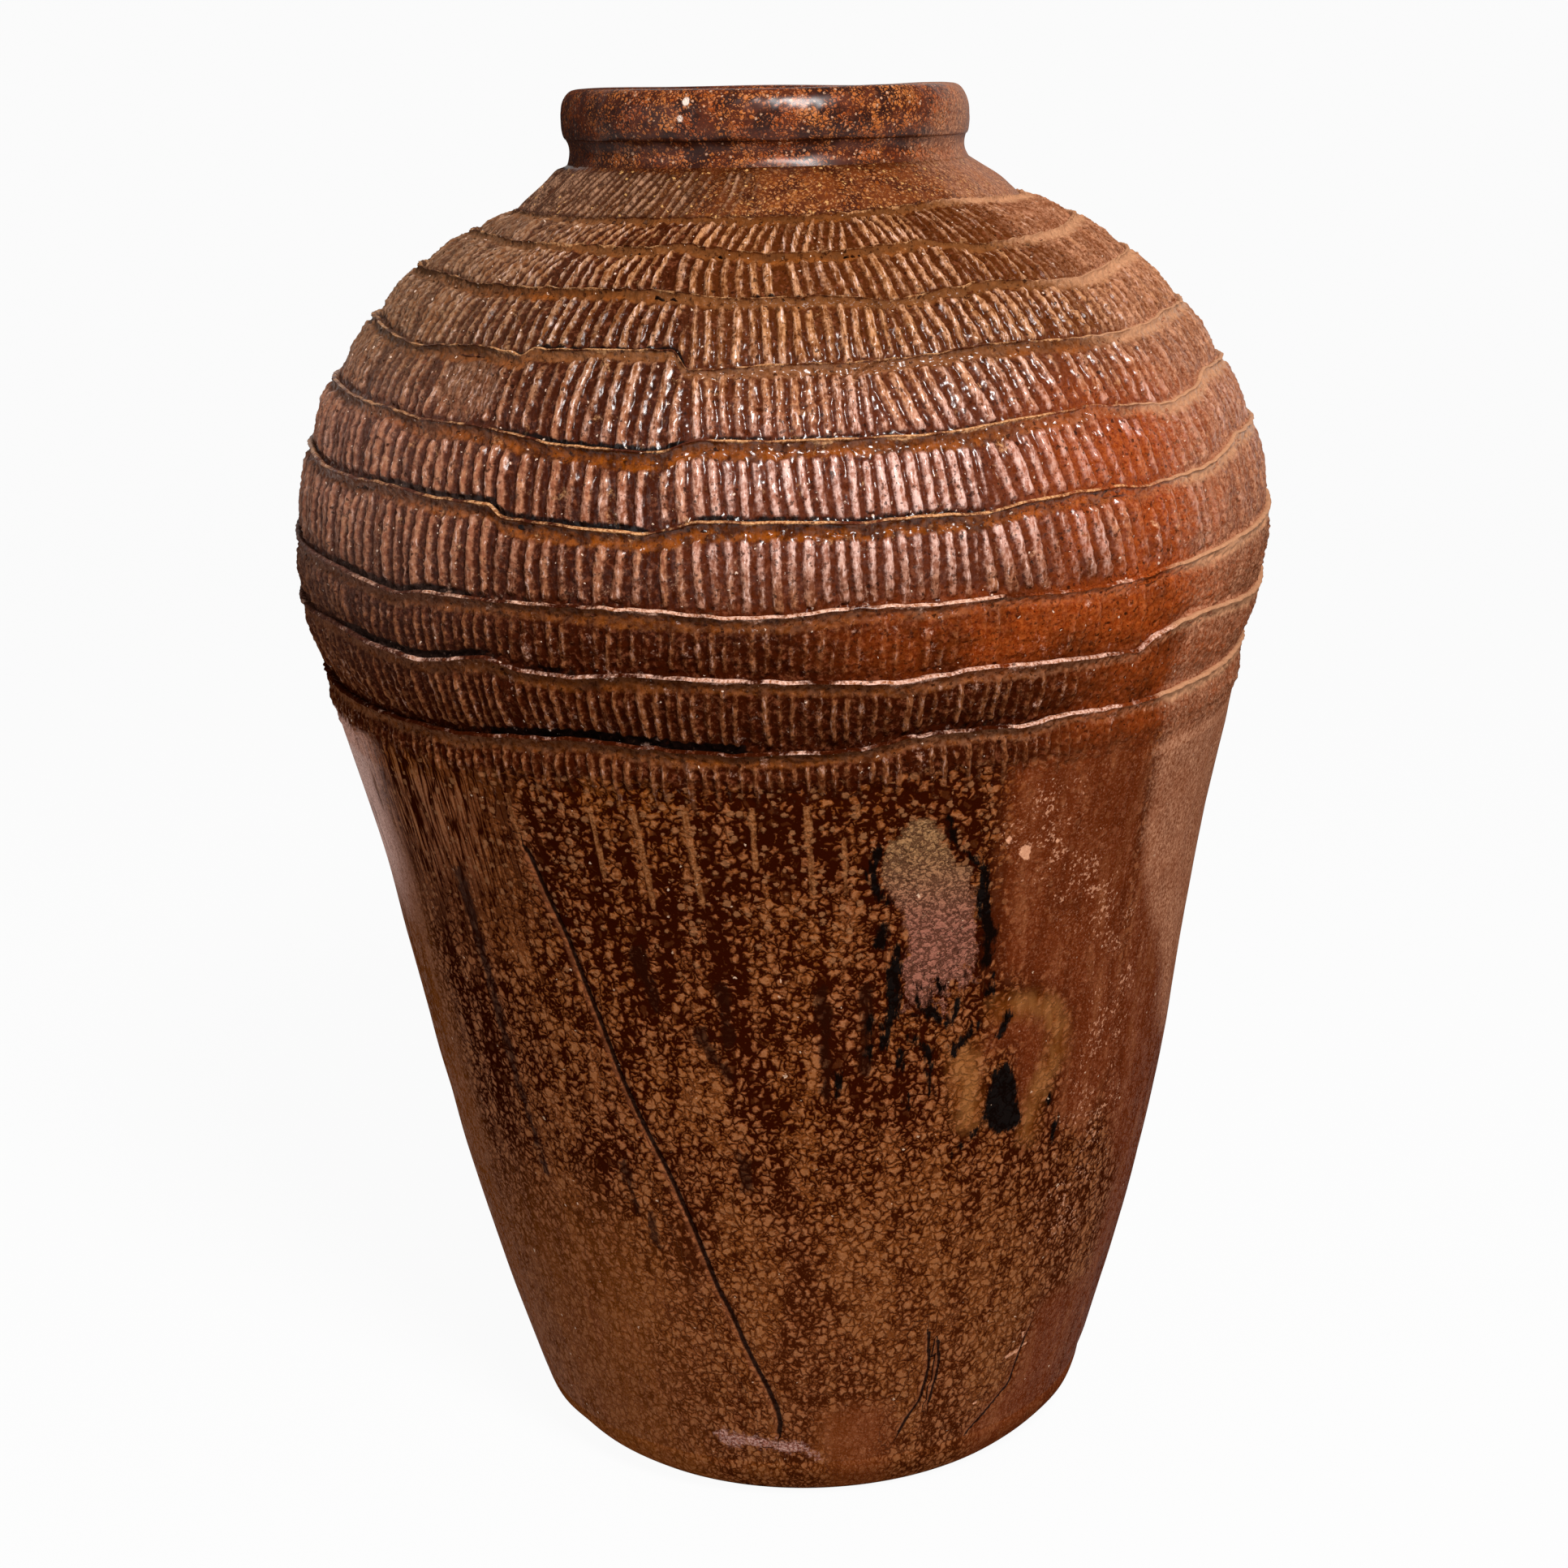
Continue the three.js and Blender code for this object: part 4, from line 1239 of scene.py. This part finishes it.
def stamped_finish(name, lowest=False):
    """Treacle glaze on the paddled courses.

    It is thin and pale on bars and ridges, amber under the lips and black where it pools. The lowest course
    turns into the plain wall's glaze at its foot.
    """
    material, tree, shader = new_finish(name)
    where = millimetres(tree)
    side, level = side_and_level(where)
    high = rises(level, 338, 372)
    top = rises(level, 392, 428)
    left = rises(side, -15, -85, 0.85)
    grain = noise(where, 1.1, 4, 0.7)
    lumps = noise(where, 1.9, 3, 0.6)
    drawn = noise(down_the_wall(tree, 0.25), 0.9, 3, 0.6)
    worked = plus(times(lumps, 0.5), times(drawn, 0.5))
    ragged = swing(where, 2.2, 0.3)
    ragged_edge = plus(ragged, swing(where, 1, 0.22))

    # Grooves
    deep = laid_over(high, tone(46, 12, 2), tone(48, 16, 6))
    shallow_high = laid_over(top, tone(108, 48, 24), tone(96, 46, 14))
    groove = coated(
        laid_over(high, tone(96, 40, 14), shallow_high),
        (mark(tree, "dark"), deep),
        (rises(lumps, 0.5, 0.7, 0.5), tone(128, 70, 44)),
    )

    # Bars, with a painted pinkish highlight in front on the middle courses, and painted darker on the left as
    # shade
    painted_front_highlight = times(rises(level, 350, 366), rises(level, 404, 386, 0.8))
    painted_front_highlight = times(painted_front_highlight, times(rises(side, -38, -12), rises(side, 105, 70)))
    bright = coated(
        laid_over(rises(noise(where, 20), 0.38, 0.62), tone(190, 128, 92), tone(216, 166, 150)),
        (painted_front_highlight, tone(230, 186, 172)),
        (times(top, 0.8), tone(184, 130, 86)),
        (left, laid_over(top, tone(166, 110, 78), tone(150, 112, 84))),
    )
    dim = coated(laid_over(top, tone(134, 78, 54), tone(116, 66, 32)), (painted_front_highlight, tone(164, 108, 88)))
    dim_bar = laid_over(high, tone(82, 38, 16), dim)
    pale_bar = laid_over(high, tone(134, 82, 50), bright)
    bar = laid_over(rises(worked, 0.4, 0.58), dim_bar, pale_bar)
    on_bar = rises(plus(mark(tree, "bar"), times(ragged_edge, between(high, 1.1, 0.6))), 0.1, 0.75)
    # Glints: painted highlights along the bars
    glints = times(rises(drawn, 0.56, 0.7), between(high, 0.25, 0.75))
    glints = times(glints, rest_of(mark(tree, "haze")))

    # Lips, painted darker just under each ridge as shade under its overhang
    clear_amber = laid_over(high, tone(104, 50, 8), tone(136, 66, 8))
    amber = coated(
        laid_over(rises(noise(where, 5, 4, 0.6), 0.36, 0.62), tone(60, 22, 2), clear_amber),
        (rises(grain, 0.56, 0.76, 0.5), tone(176, 108, 46)),
        (rises(mark(tree, "bank"), 0.55, 1, 0.65), tone(50, 19, 3)),
    )
    pink = coated(
        laid_over(rises(lumps, 0.36, 0.6), tone(118, 66, 40), tone(176, 120, 88)),
        (top, laid_over(lumps, tone(84, 42, 14), tone(150, 98, 58))),
    )
    in_lip = plus(mark(tree, "lip"), times(on_bar, -0.25))
    in_lip = rises(plus(in_lip, ragged_edge), 0.12, 0.95, 0.9)

    # Orange-red firing, black pools, rubbed ridges, painted grey shade on the left, and specks
    russet = laid_over(rises(grain, 0.3, 0.7), tone(128, 40, 3), tone(184, 88, 34))
    fired = times(mark(tree, "russet"), rises(noise(where, 18), 0.25, 0.6, 0.65))
    bits = rises(noise(where, 1.5, 2), 0.58, 0.68)
    pooled = rises(plus(mark(tree, "pool"), ragged), 0.35, 0.75)
    rubbed = laid_over(high, tone(236, 190, 170), tone(224, 168, 116))
    rubbed = laid_over(rises(grain, 0.34, 0.64), tone(146, 84, 44), rubbed)
    worn = rises(plus(mark(tree, "crest"), plus(swing(where, 7, 0.75), ragged_edge)), 0.35, 1.15, 0.85)
    haze = times(mark(tree, "haze"), rises(grain, 0.2, 0.7))
    specks = specks_on(where, 2.8, 0.14, between(high, 0.2, 0.5))
    pits = specks_on(where, 3.2, 0.19, 0.45)
    colour = coated(
        groove,
        (on_bar, bar),
        (times(glints, on_bar), tone(234, 200, 188)),
        (in_lip, laid_over(mark(tree, "amber"), pink, amber)),
        (fired, russet),
        (times(bits, 0.7), tone(44, 15, 5)),
        (pooled, tone(18, 8, 6)),
        (worn, rubbed),
        (haze, laid_over(top, tone(112, 84, 74), tone(106, 84, 68))),
        (times(specks, 0.75), tone(238, 204, 180)),
        (times(pits, 0.75), tone(34, 11, 4)),
    )
    lift = plus(times(worked, 2.2), plus(times(pits, -0.8), times(specks, 0.4)))
    roughness = between(pooled, between(grain, 0.2, 0.45), 0.14)
    if lowest:
        plain = rises(plus(mark(tree, "plain"), ragged), 0.3, 0.75)
        plain = times(plain, rest_of(times(on_bar, 0.55)))
        wall, _, relief = wall_glaze(tree)
        colour = laid_over(plain, colour, wall)
        lift = between(plain, lift, times(relief, 0.6))
        roughness = between(plain, roughness, 0.4)

    # Dust, heaped under the ridges in a pale band that is partly a painted highlight on their folds, and the
    # wet gloss that it leaves
    dust = mark(tree, "dust")
    colour, cover = dusted(colour, where, times(dust, between(on_bar, 0.78, 1)))
    heaped = rises(plus(times(dust, mark(tree, "bank")), times(ragged, 0.5)), 0.05, 0.5, 0.85)
    colour = laid_over(heaped, colour, laid_over(grain, tone(158, 104, 72), tone(206, 154, 116)))
    roughness = between(cover, roughness, 0.85)
    wet = times(rises(level, 330, 385), rest_of(cover))
    wet = times(wet, between(left, 1, 0.25))
    wet = times(wet, rises(level, 448, 402))
    wet = times(wet, rises(worked, 0.36, 0.6, 0.9))
    finish_surface(shader, inside_glaze(tree, where, colour), roughness, lift, 0.5, wet)
    return material


def plain_finish():
    """Treacle glaze of the smooth lower wall with its runs, pooled drips, bare clay and hairline crack."""
    material, tree, shader = new_finish("plain_glaze")
    where, trailing = millimetres(tree), millimetres(tree, 0.35)
    _, level = side_and_level(where)
    glaze, blob, relief = wall_glaze(tree)
    grain = noise(where, 1, 4, 0.7)
    ragged = plus(swing(where, 4.5, 1.6), swing(where, 1.3, 0.9))
    drawn = plus(swing(trailing, 3.2, 2.2), swing(trailing, 1.1, 1.1))

    # Amber round the teardrop, and pale runs
    amber = laid_over(rises(noise(trailing, 6, 4), 0.38, 0.62), tone(112, 56, 14), tone(150, 94, 48))
    in_amber = rises(plus(mark(tree, "amber"), times(ragged, 1.5)), -4.5, 4.5, 0.65)
    pale = laid_over(rises(grain, 0.35, 0.65), tone(108, 56, 22), tone(160, 104, 64))
    run = rises(plus(mark(tree, "run"), times(drawn, 0.25)), -0.4, 0.5, 0.85)

    # Bare clay, wrinkled, and streaked with black at its torn lower edge
    wrinkles = maths("ABSOLUTE", swing(where, 3.2, 1, 3, 0.6))
    streaks = times(rises(drawn, 0.2, 1.6), rises(level, 236, 212, 0.9))
    clay = coated(
        laid_over(rises(level, 232, 268), tone(150, 94, 76), tone(152, 110, 72)),
        (rises(wrinkles, 0.34, 0.05, 0.8), tone(60, 30, 18)),
        (rises(grain, 0.52, 0.32, 0.65), tone(84, 46, 30)),
        (rises(grain, 0.6, 0.74, 0.8), tone(196, 152, 118)),
        (streaks, tone(36, 14, 8)),
    )
    torn = times(plus(ragged, swing(where, 7, 2.4)), runs(level, 208, 240, 1.8, 0.9))
    bare = rises(plus(mark(tree, "bare"), torn), -0.6, 1.4)

    # Stains, black drips, rubbed heel, chips and cracks
    stained = rises(plus(mark(tree, "stain"), drawn), -1.3, 1.3, 0.85)
    pooled = rises(plus(mark(tree, "pool"), drawn), -0.8, 1)
    rubbed = rises(plus(mark(tree, "wear"), times(ragged, 1.6)), -1, 2, 0.85)
    chip = rises(plus(mark(tree, "chip"), times(ragged, 0.5)), -0.2, 0.3)
    off_crack = mark(tree, "crack")
    beside = rises(plus(off_crack, times(ragged, 0.6)), -3, -1, 0.4)
    beside = times(beside, rises(off_crack, 0.6, -0.1))
    crack = rises(plus(maths("ABSOLUTE", off_crack), times(ragged, 0.1)), 1.15, 0.5, 0.95)
    specks = specks_on(where, 5, 0.1, 0.25)
    patchy = times(mark(tree, "flecks"), rises(noise(where, 9), 0.4, 0.62))
    scattered = plus(noise(where, 1.5, 3, 0.6), times(patchy, 0.13))
    flecks = times(rises(scattered, 0.65, 0.73, 0.8), rises(patchy, 0, 0.3))
    colour = coated(
        glaze,
        (in_amber, amber),
        (run, pale),
        (bare, clay),
        (stained, tone(34, 10, 3)),
        (pooled, laid_over(rises(grain, 0.5, 0.75), tone(12, 5, 3), tone(22, 10, 7))),
        (rubbed, laid_over(rises(grain, 0.4, 0.62), tone(124, 66, 52), tone(206, 160, 146))),
        (chip, laid_over(grain, tone(170, 104, 74), tone(236, 176, 138))),
        (beside, tone(148, 86, 54)),
        (crack, tone(20, 5, 2)),
        (times(specks, 0.7), tone(224, 186, 156)),
        (flecks, tone(194, 136, 104)),
    )
    colour, cover = dusted(colour, where, mark(tree, "dust"))

    roughness = between(blob, 0.34, 0.5)
    for share, reached in [(mark(tree, "calm"), 0.3), (bare, 0.85), (pooled, 0.2), (cover, 0.88)]:
        roughness = between(share, roughness, reached)
    lift = plus(times(relief, 0.9), times(grain, 0.6))
    lift = plus(lift, times(bare, rises(wrinkles, 0, 0.6)))
    lift = plus(lift, times(crack, -2.5))
    sheen = plus(times(blob, 0.06), times(mark(tree, "glare"), 0.08))
    sheen = times(times(sheen, rises(bare, 1, 0)), rest_of(cover))
    finish_surface(shader, inside_glaze(tree, where, colour), roughness, lift, 0.5, sheen)
    return material


def collar_finish():
    """Amber glaze of the collar, freckled with pale bubbles, with the paddle's last bars on its left."""
    material, tree, shader = new_finish("collar_glaze", 0.27)
    where = millimetres(tree)
    grain = noise(where, 1, 4, 0.7)
    ragged = swing(where, 2.2, 0.25)
    blob, relief = crawled(where, 1.8, 0.45)
    body = laid_over(rises(noise(where, 14), 0.38, 0.62), tone(124, 58, 10), tone(146, 82, 34))
    body = laid_over(rises(grain, 0.46, 0.7, 0.75), body, tone(208, 152, 108))
    gap = laid_over(rises(noise(where, 9), 0.4, 0.6), tone(60, 20, 4), tone(98, 44, 14))
    bars = rises(plus(mark(tree, "bar"), times(ragged, 0.6)), 0.2, 0.7, 0.7)
    grooved = rises(plus(mark(tree, "grooved"), swing(where, 5, 0.2)), 0.1, 0.9, 0.75)
    flaked = rises(noise(where, 2.6, 4, 0.7), 0.36, 0.64)
    # The pool mark holds pooled glaze at the collar's foot and painted shade under the neck
    pooled = rises(plus(mark(tree, "pool"), times(ragged, 1.6)), 0.25, 0.95, 0.7)
    # Painted grey shade on the left
    haze = times(mark(tree, "haze"), rises(grain, 0.2, 0.7))
    specks = specks_on(where, 2, 0.28, between(grooved, 0.6, 0.2))
    colour = coated(
        gap,
        (blob, body),
        (grooved, laid_over(grain, tone(36, 18, 10), tone(74, 42, 24))),
        (bars, laid_over(flaked, tone(58, 32, 19), tone(186, 138, 106))),
        (pooled, tone(44, 15, 4)),
        (times(haze, 0.6), tone(92, 66, 54)),
        (times(specks, 0.7), tone(220, 164, 100)),
    )
    colour, cover = dusted(colour, where, mark(tree, "dust"))
    roughness = between(cover, between(grain, 0.18, 0.42), 0.85)
    wet = between(cover, times(rest_of(grooved), 0.4), 0)
    lift = plus(times(relief, 0.7), plus(times(grain, 0.5), times(specks, 0.6)))
    finish_surface(shader, inside_glaze(tree, where, colour), roughness, lift, 0.6, wet)
    return material


def rim_finish(name, gloss):
    """Dark treacle glaze of the neck or the rim, speckled, with pale chips on the roll and painted shade in
    the creases under the roll and at the neck's foot.
    """
    material, tree, shader = new_finish(name, 0.3)
    where = millimetres(tree)
    grain = noise(where, 1, 4, 0.7)
    thick = times(plus(noise(where, 8), -0.5), 1.6)
    blob, relief = crawled(where, 1.6, plus(thick, 0.5))
    body = laid_over(rises(noise(where, 13), 0.38, 0.64), tone(144, 62, 11), tone(176, 98, 40))
    body = laid_over(rises(grain, 0.46, 0.7, 0.7), body, tone(202, 142, 104))
    gap = laid_over(rises(noise(where, 9), 0.4, 0.6), tone(42, 12, 3), tone(78, 30, 9))
    specks = specks_on(where, 1.9, 0.28, 0.45)
    chip = rises(plus(mark(tree, "chip"), swing(where, 1.6, 0.4)), -0.2, 0.3)
    # Painted grey shade on the left
    haze = times(mark(tree, "haze"), rises(grain, 0.2, 0.7))
    colour = coated(
        gap,
        (blob, body),
        (times(specks, 0.75), tone(212, 164, 132)),
        (chip, tone(232, 206, 190)),
        (times(haze, 1.5), tone(62, 37, 31)),
        (times(mark(tree, "shade"), 0.5), tone(50, 18, 5)),
    )
    colour, cover = dusted(colour, where, mark(tree, "dust"))
    roughness = between(cover, between(grain, 0.14, 0.4), 0.8)
    wet = times(rest_of(times(mark(tree, "haze"), 1.6)), gloss)
    wet = between(cover, wet, 0)
    lift = plus(times(relief, 0.7), plus(times(grain, 0.5), times(specks, 0.6)))
    finish_surface(shader, inside_glaze(tree, where, colour), roughness, lift, 0.6, wet)
    return material


def foot_finish():
    """Glaze of the heel, rubbed at its edge, and bare sandy clay underneath."""
    material, tree, shader = new_finish("bare_clay")
    where = millimetres(tree)
    glaze, blob, relief = wall_glaze(tree)
    grain = noise(where, 1, 5, 0.75)
    rubbed = rises(plus(mark(tree, "under"), swing(where, 3, 0.25)), 0.35, 0.65)
    sand = laid_over(rises(grain, 0.3, 0.7), tone(96, 56, 38), tone(168, 112, 82))
    roughness = between(rubbed, between(blob, 0.34, 0.5), 0.92)
    lift = plus(times(relief, 0.5), times(grain, 0.6))
    finish_surface(shader, laid_over(rubbed, glaze, sand), roughness, lift, 0.5)
    return material


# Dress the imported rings


def dress(piece, material, slot, *nodes):
    piece.data.materials.append(material)
    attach(piece, "root")
    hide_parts(*nodes)


lowest_glaze = stamped_finish("lowest_course_glaze", lowest=True)
stamped_glaze = stamped_finish("stamped_glaze")
dress(clay_foot(), foot_finish(), "bare_clay", "base_disc")
dress(lower_wall(), plain_finish(), "plain_glaze", *PLAIN_RINGS)
for course, ring in enumerate(STAMPED_RINGS, start=1):
    dress(paddled_course(course), lowest_glaze if course == 1 else stamped_glaze, "stamped_glaze", ring)
dress(glazed_collar(), collar_finish(), "plain_glaze", "shoulder_collar")
dress(glazed_neck(), rim_finish("neck_glaze", 0.5), "rim_glaze", "neck_ring")
dress(glazed_rim(), rim_finish("rim_glaze", 0.55), "rim_glaze", "rim_roll")

# Studio: a white sweep, soft lamps and the photograph's camera

SHOULDER = Vector((0, 0, 0.36))
ROOM_LIGHT = 0.25
CAMERA_PLACE = (0, -0.95, 0.506)
CAMERA_TILT = 15.4228
CAMERA_ROLL = -1.96
FOCAL_LENGTH = 59.58
SENSOR_WIDTH = 36
PICTURE_SHIFT = -9 / 1932
SWEEP_HALF_WIDTH = 4
SWEEP_BACK = 3
SWEEP_HEIGHT = 2.5
SWEEP_BEND = 1.2
SWEEP_GLOW = 0.95
SWEEP_GREY = 0.6
SWEEP_DROP = 0.3


def white_sweep():
    """A white floor that bends up into a backdrop, and keeps a faint shadow."""
    bm = bmesh.new()
    bmesh.ops.create_grid(bm, x_segments=1, y_segments=1, size=SWEEP_HALF_WIDTH)
    bmesh.ops.translate(bm, verts=bm.verts, vec=(0, SWEEP_BACK - SWEEP_HALF_WIDTH, -SWEEP_DROP * MM))
    back = [edge for edge in bm.edges if all(vertex.co.y > SWEEP_BACK - 0.1 for vertex in edge.verts)]
    risen = bmesh.ops.extrude_edge_only(bm, edges=back)["geom"]
    top = [item for item in risen if isinstance(item, bmesh.types.BMVert)]
    bmesh.ops.translate(bm, verts=top, vec=(0, 0, SWEEP_HEIGHT))
    bmesh.ops.bevel(bm, geom=back, offset=SWEEP_BEND, segments=16, profile=0.5, affect="EDGES", material=-1)
    mesh = bpy.data.meshes.new("white_sweep")
    bm.to_mesh(mesh)
    bm.free()
    mesh.shade_smooth()
    sweep = bpy.data.objects.new("white_sweep", mesh)
    bpy.context.scene.collection.objects.link(sweep)
    material = bpy.data.materials.new("sweep_paper")
    material.use_nodes = True
    tree = material.node_tree
    tree.nodes.clear()
    path = put("LightPath", tree=tree).outputs
    seen = maths("MAXIMUM", path["Is Camera Ray"], path["Is Glossy Ray"])
    seen = maths("MAXIMUM", seen, path["Is Transmission Ray"])
    paper = put("BsdfDiffuse", None, {"Color": (SWEEP_GREY, SWEEP_GREY, SWEEP_GREY, 1)}, tree)
    glow = put("Emission", None, {"Color": (1, 1, 1, 1), "Strength": 1}, tree)
    mixed = put("MixShader", None, {0: times(seen, SWEEP_GLOW), 1: paper.outputs[0], 2: glow.outputs[0]})
    put("OutputMaterial", None, {"Surface": mixed.outputs[0]})
    mesh.materials.append(material)


def soft_lamp(name, place, width, power):
    """A round white lamp that looks at the jar's shoulder."""
    lamp = bpy.data.lights.new(name, "AREA")
    lamp.shape = "DISK"
    lamp.size = width
    lamp.energy = power
    stand = bpy.data.objects.new(name, lamp)
    stand.location = place
    direction = SHOULDER - stand.location
    stand.rotation_mode = "QUATERNION"
    stand.rotation_quaternion = direction.to_track_quat("-Z", "Y")
    bpy.context.scene.collection.objects.link(stand)


def photograph_camera():
    """The fitted camera: a little above the rim, looking down at the jar's middle, and slightly rolled."""
    lens = bpy.data.cameras.new("photograph_camera")
    lens.sensor_width = SENSOR_WIDTH
    lens.lens = FOCAL_LENGTH
    lens.shift_x = PICTURE_SHIFT
    lens.dof.use_dof = False
    camera = bpy.data.objects.new("photograph_camera", lens)
    camera.location = CAMERA_PLACE
    pitch, roll = math.radians(90 - CAMERA_TILT), math.radians(CAMERA_ROLL)
    camera.rotation_euler = (Matrix.Rotation(pitch, 3, "X") @ Matrix.Rotation(roll, 3, "Z")).to_euler()
    bpy.context.scene.collection.objects.link(camera)
    bpy.context.scene.camera = camera


white_sweep()
soft_lamp("key_lamp", (0.48, -1.33, 1.65), 0.55, 46)
soft_lamp("left_lamp", (-1.5, -0.9, 0.9), 1.2, 3.5)
world = bpy.data.worlds.new("studio")
world.use_nodes = True
room = world.node_tree.nodes["Background"].inputs
room["Color"].default_value = (1, 1, 1, 1)
room["Strength"].default_value = ROOM_LIGHT
bpy.context.scene.world = world
bpy.context.scene.view_settings.view_transform = "Standard"
photograph_camera()
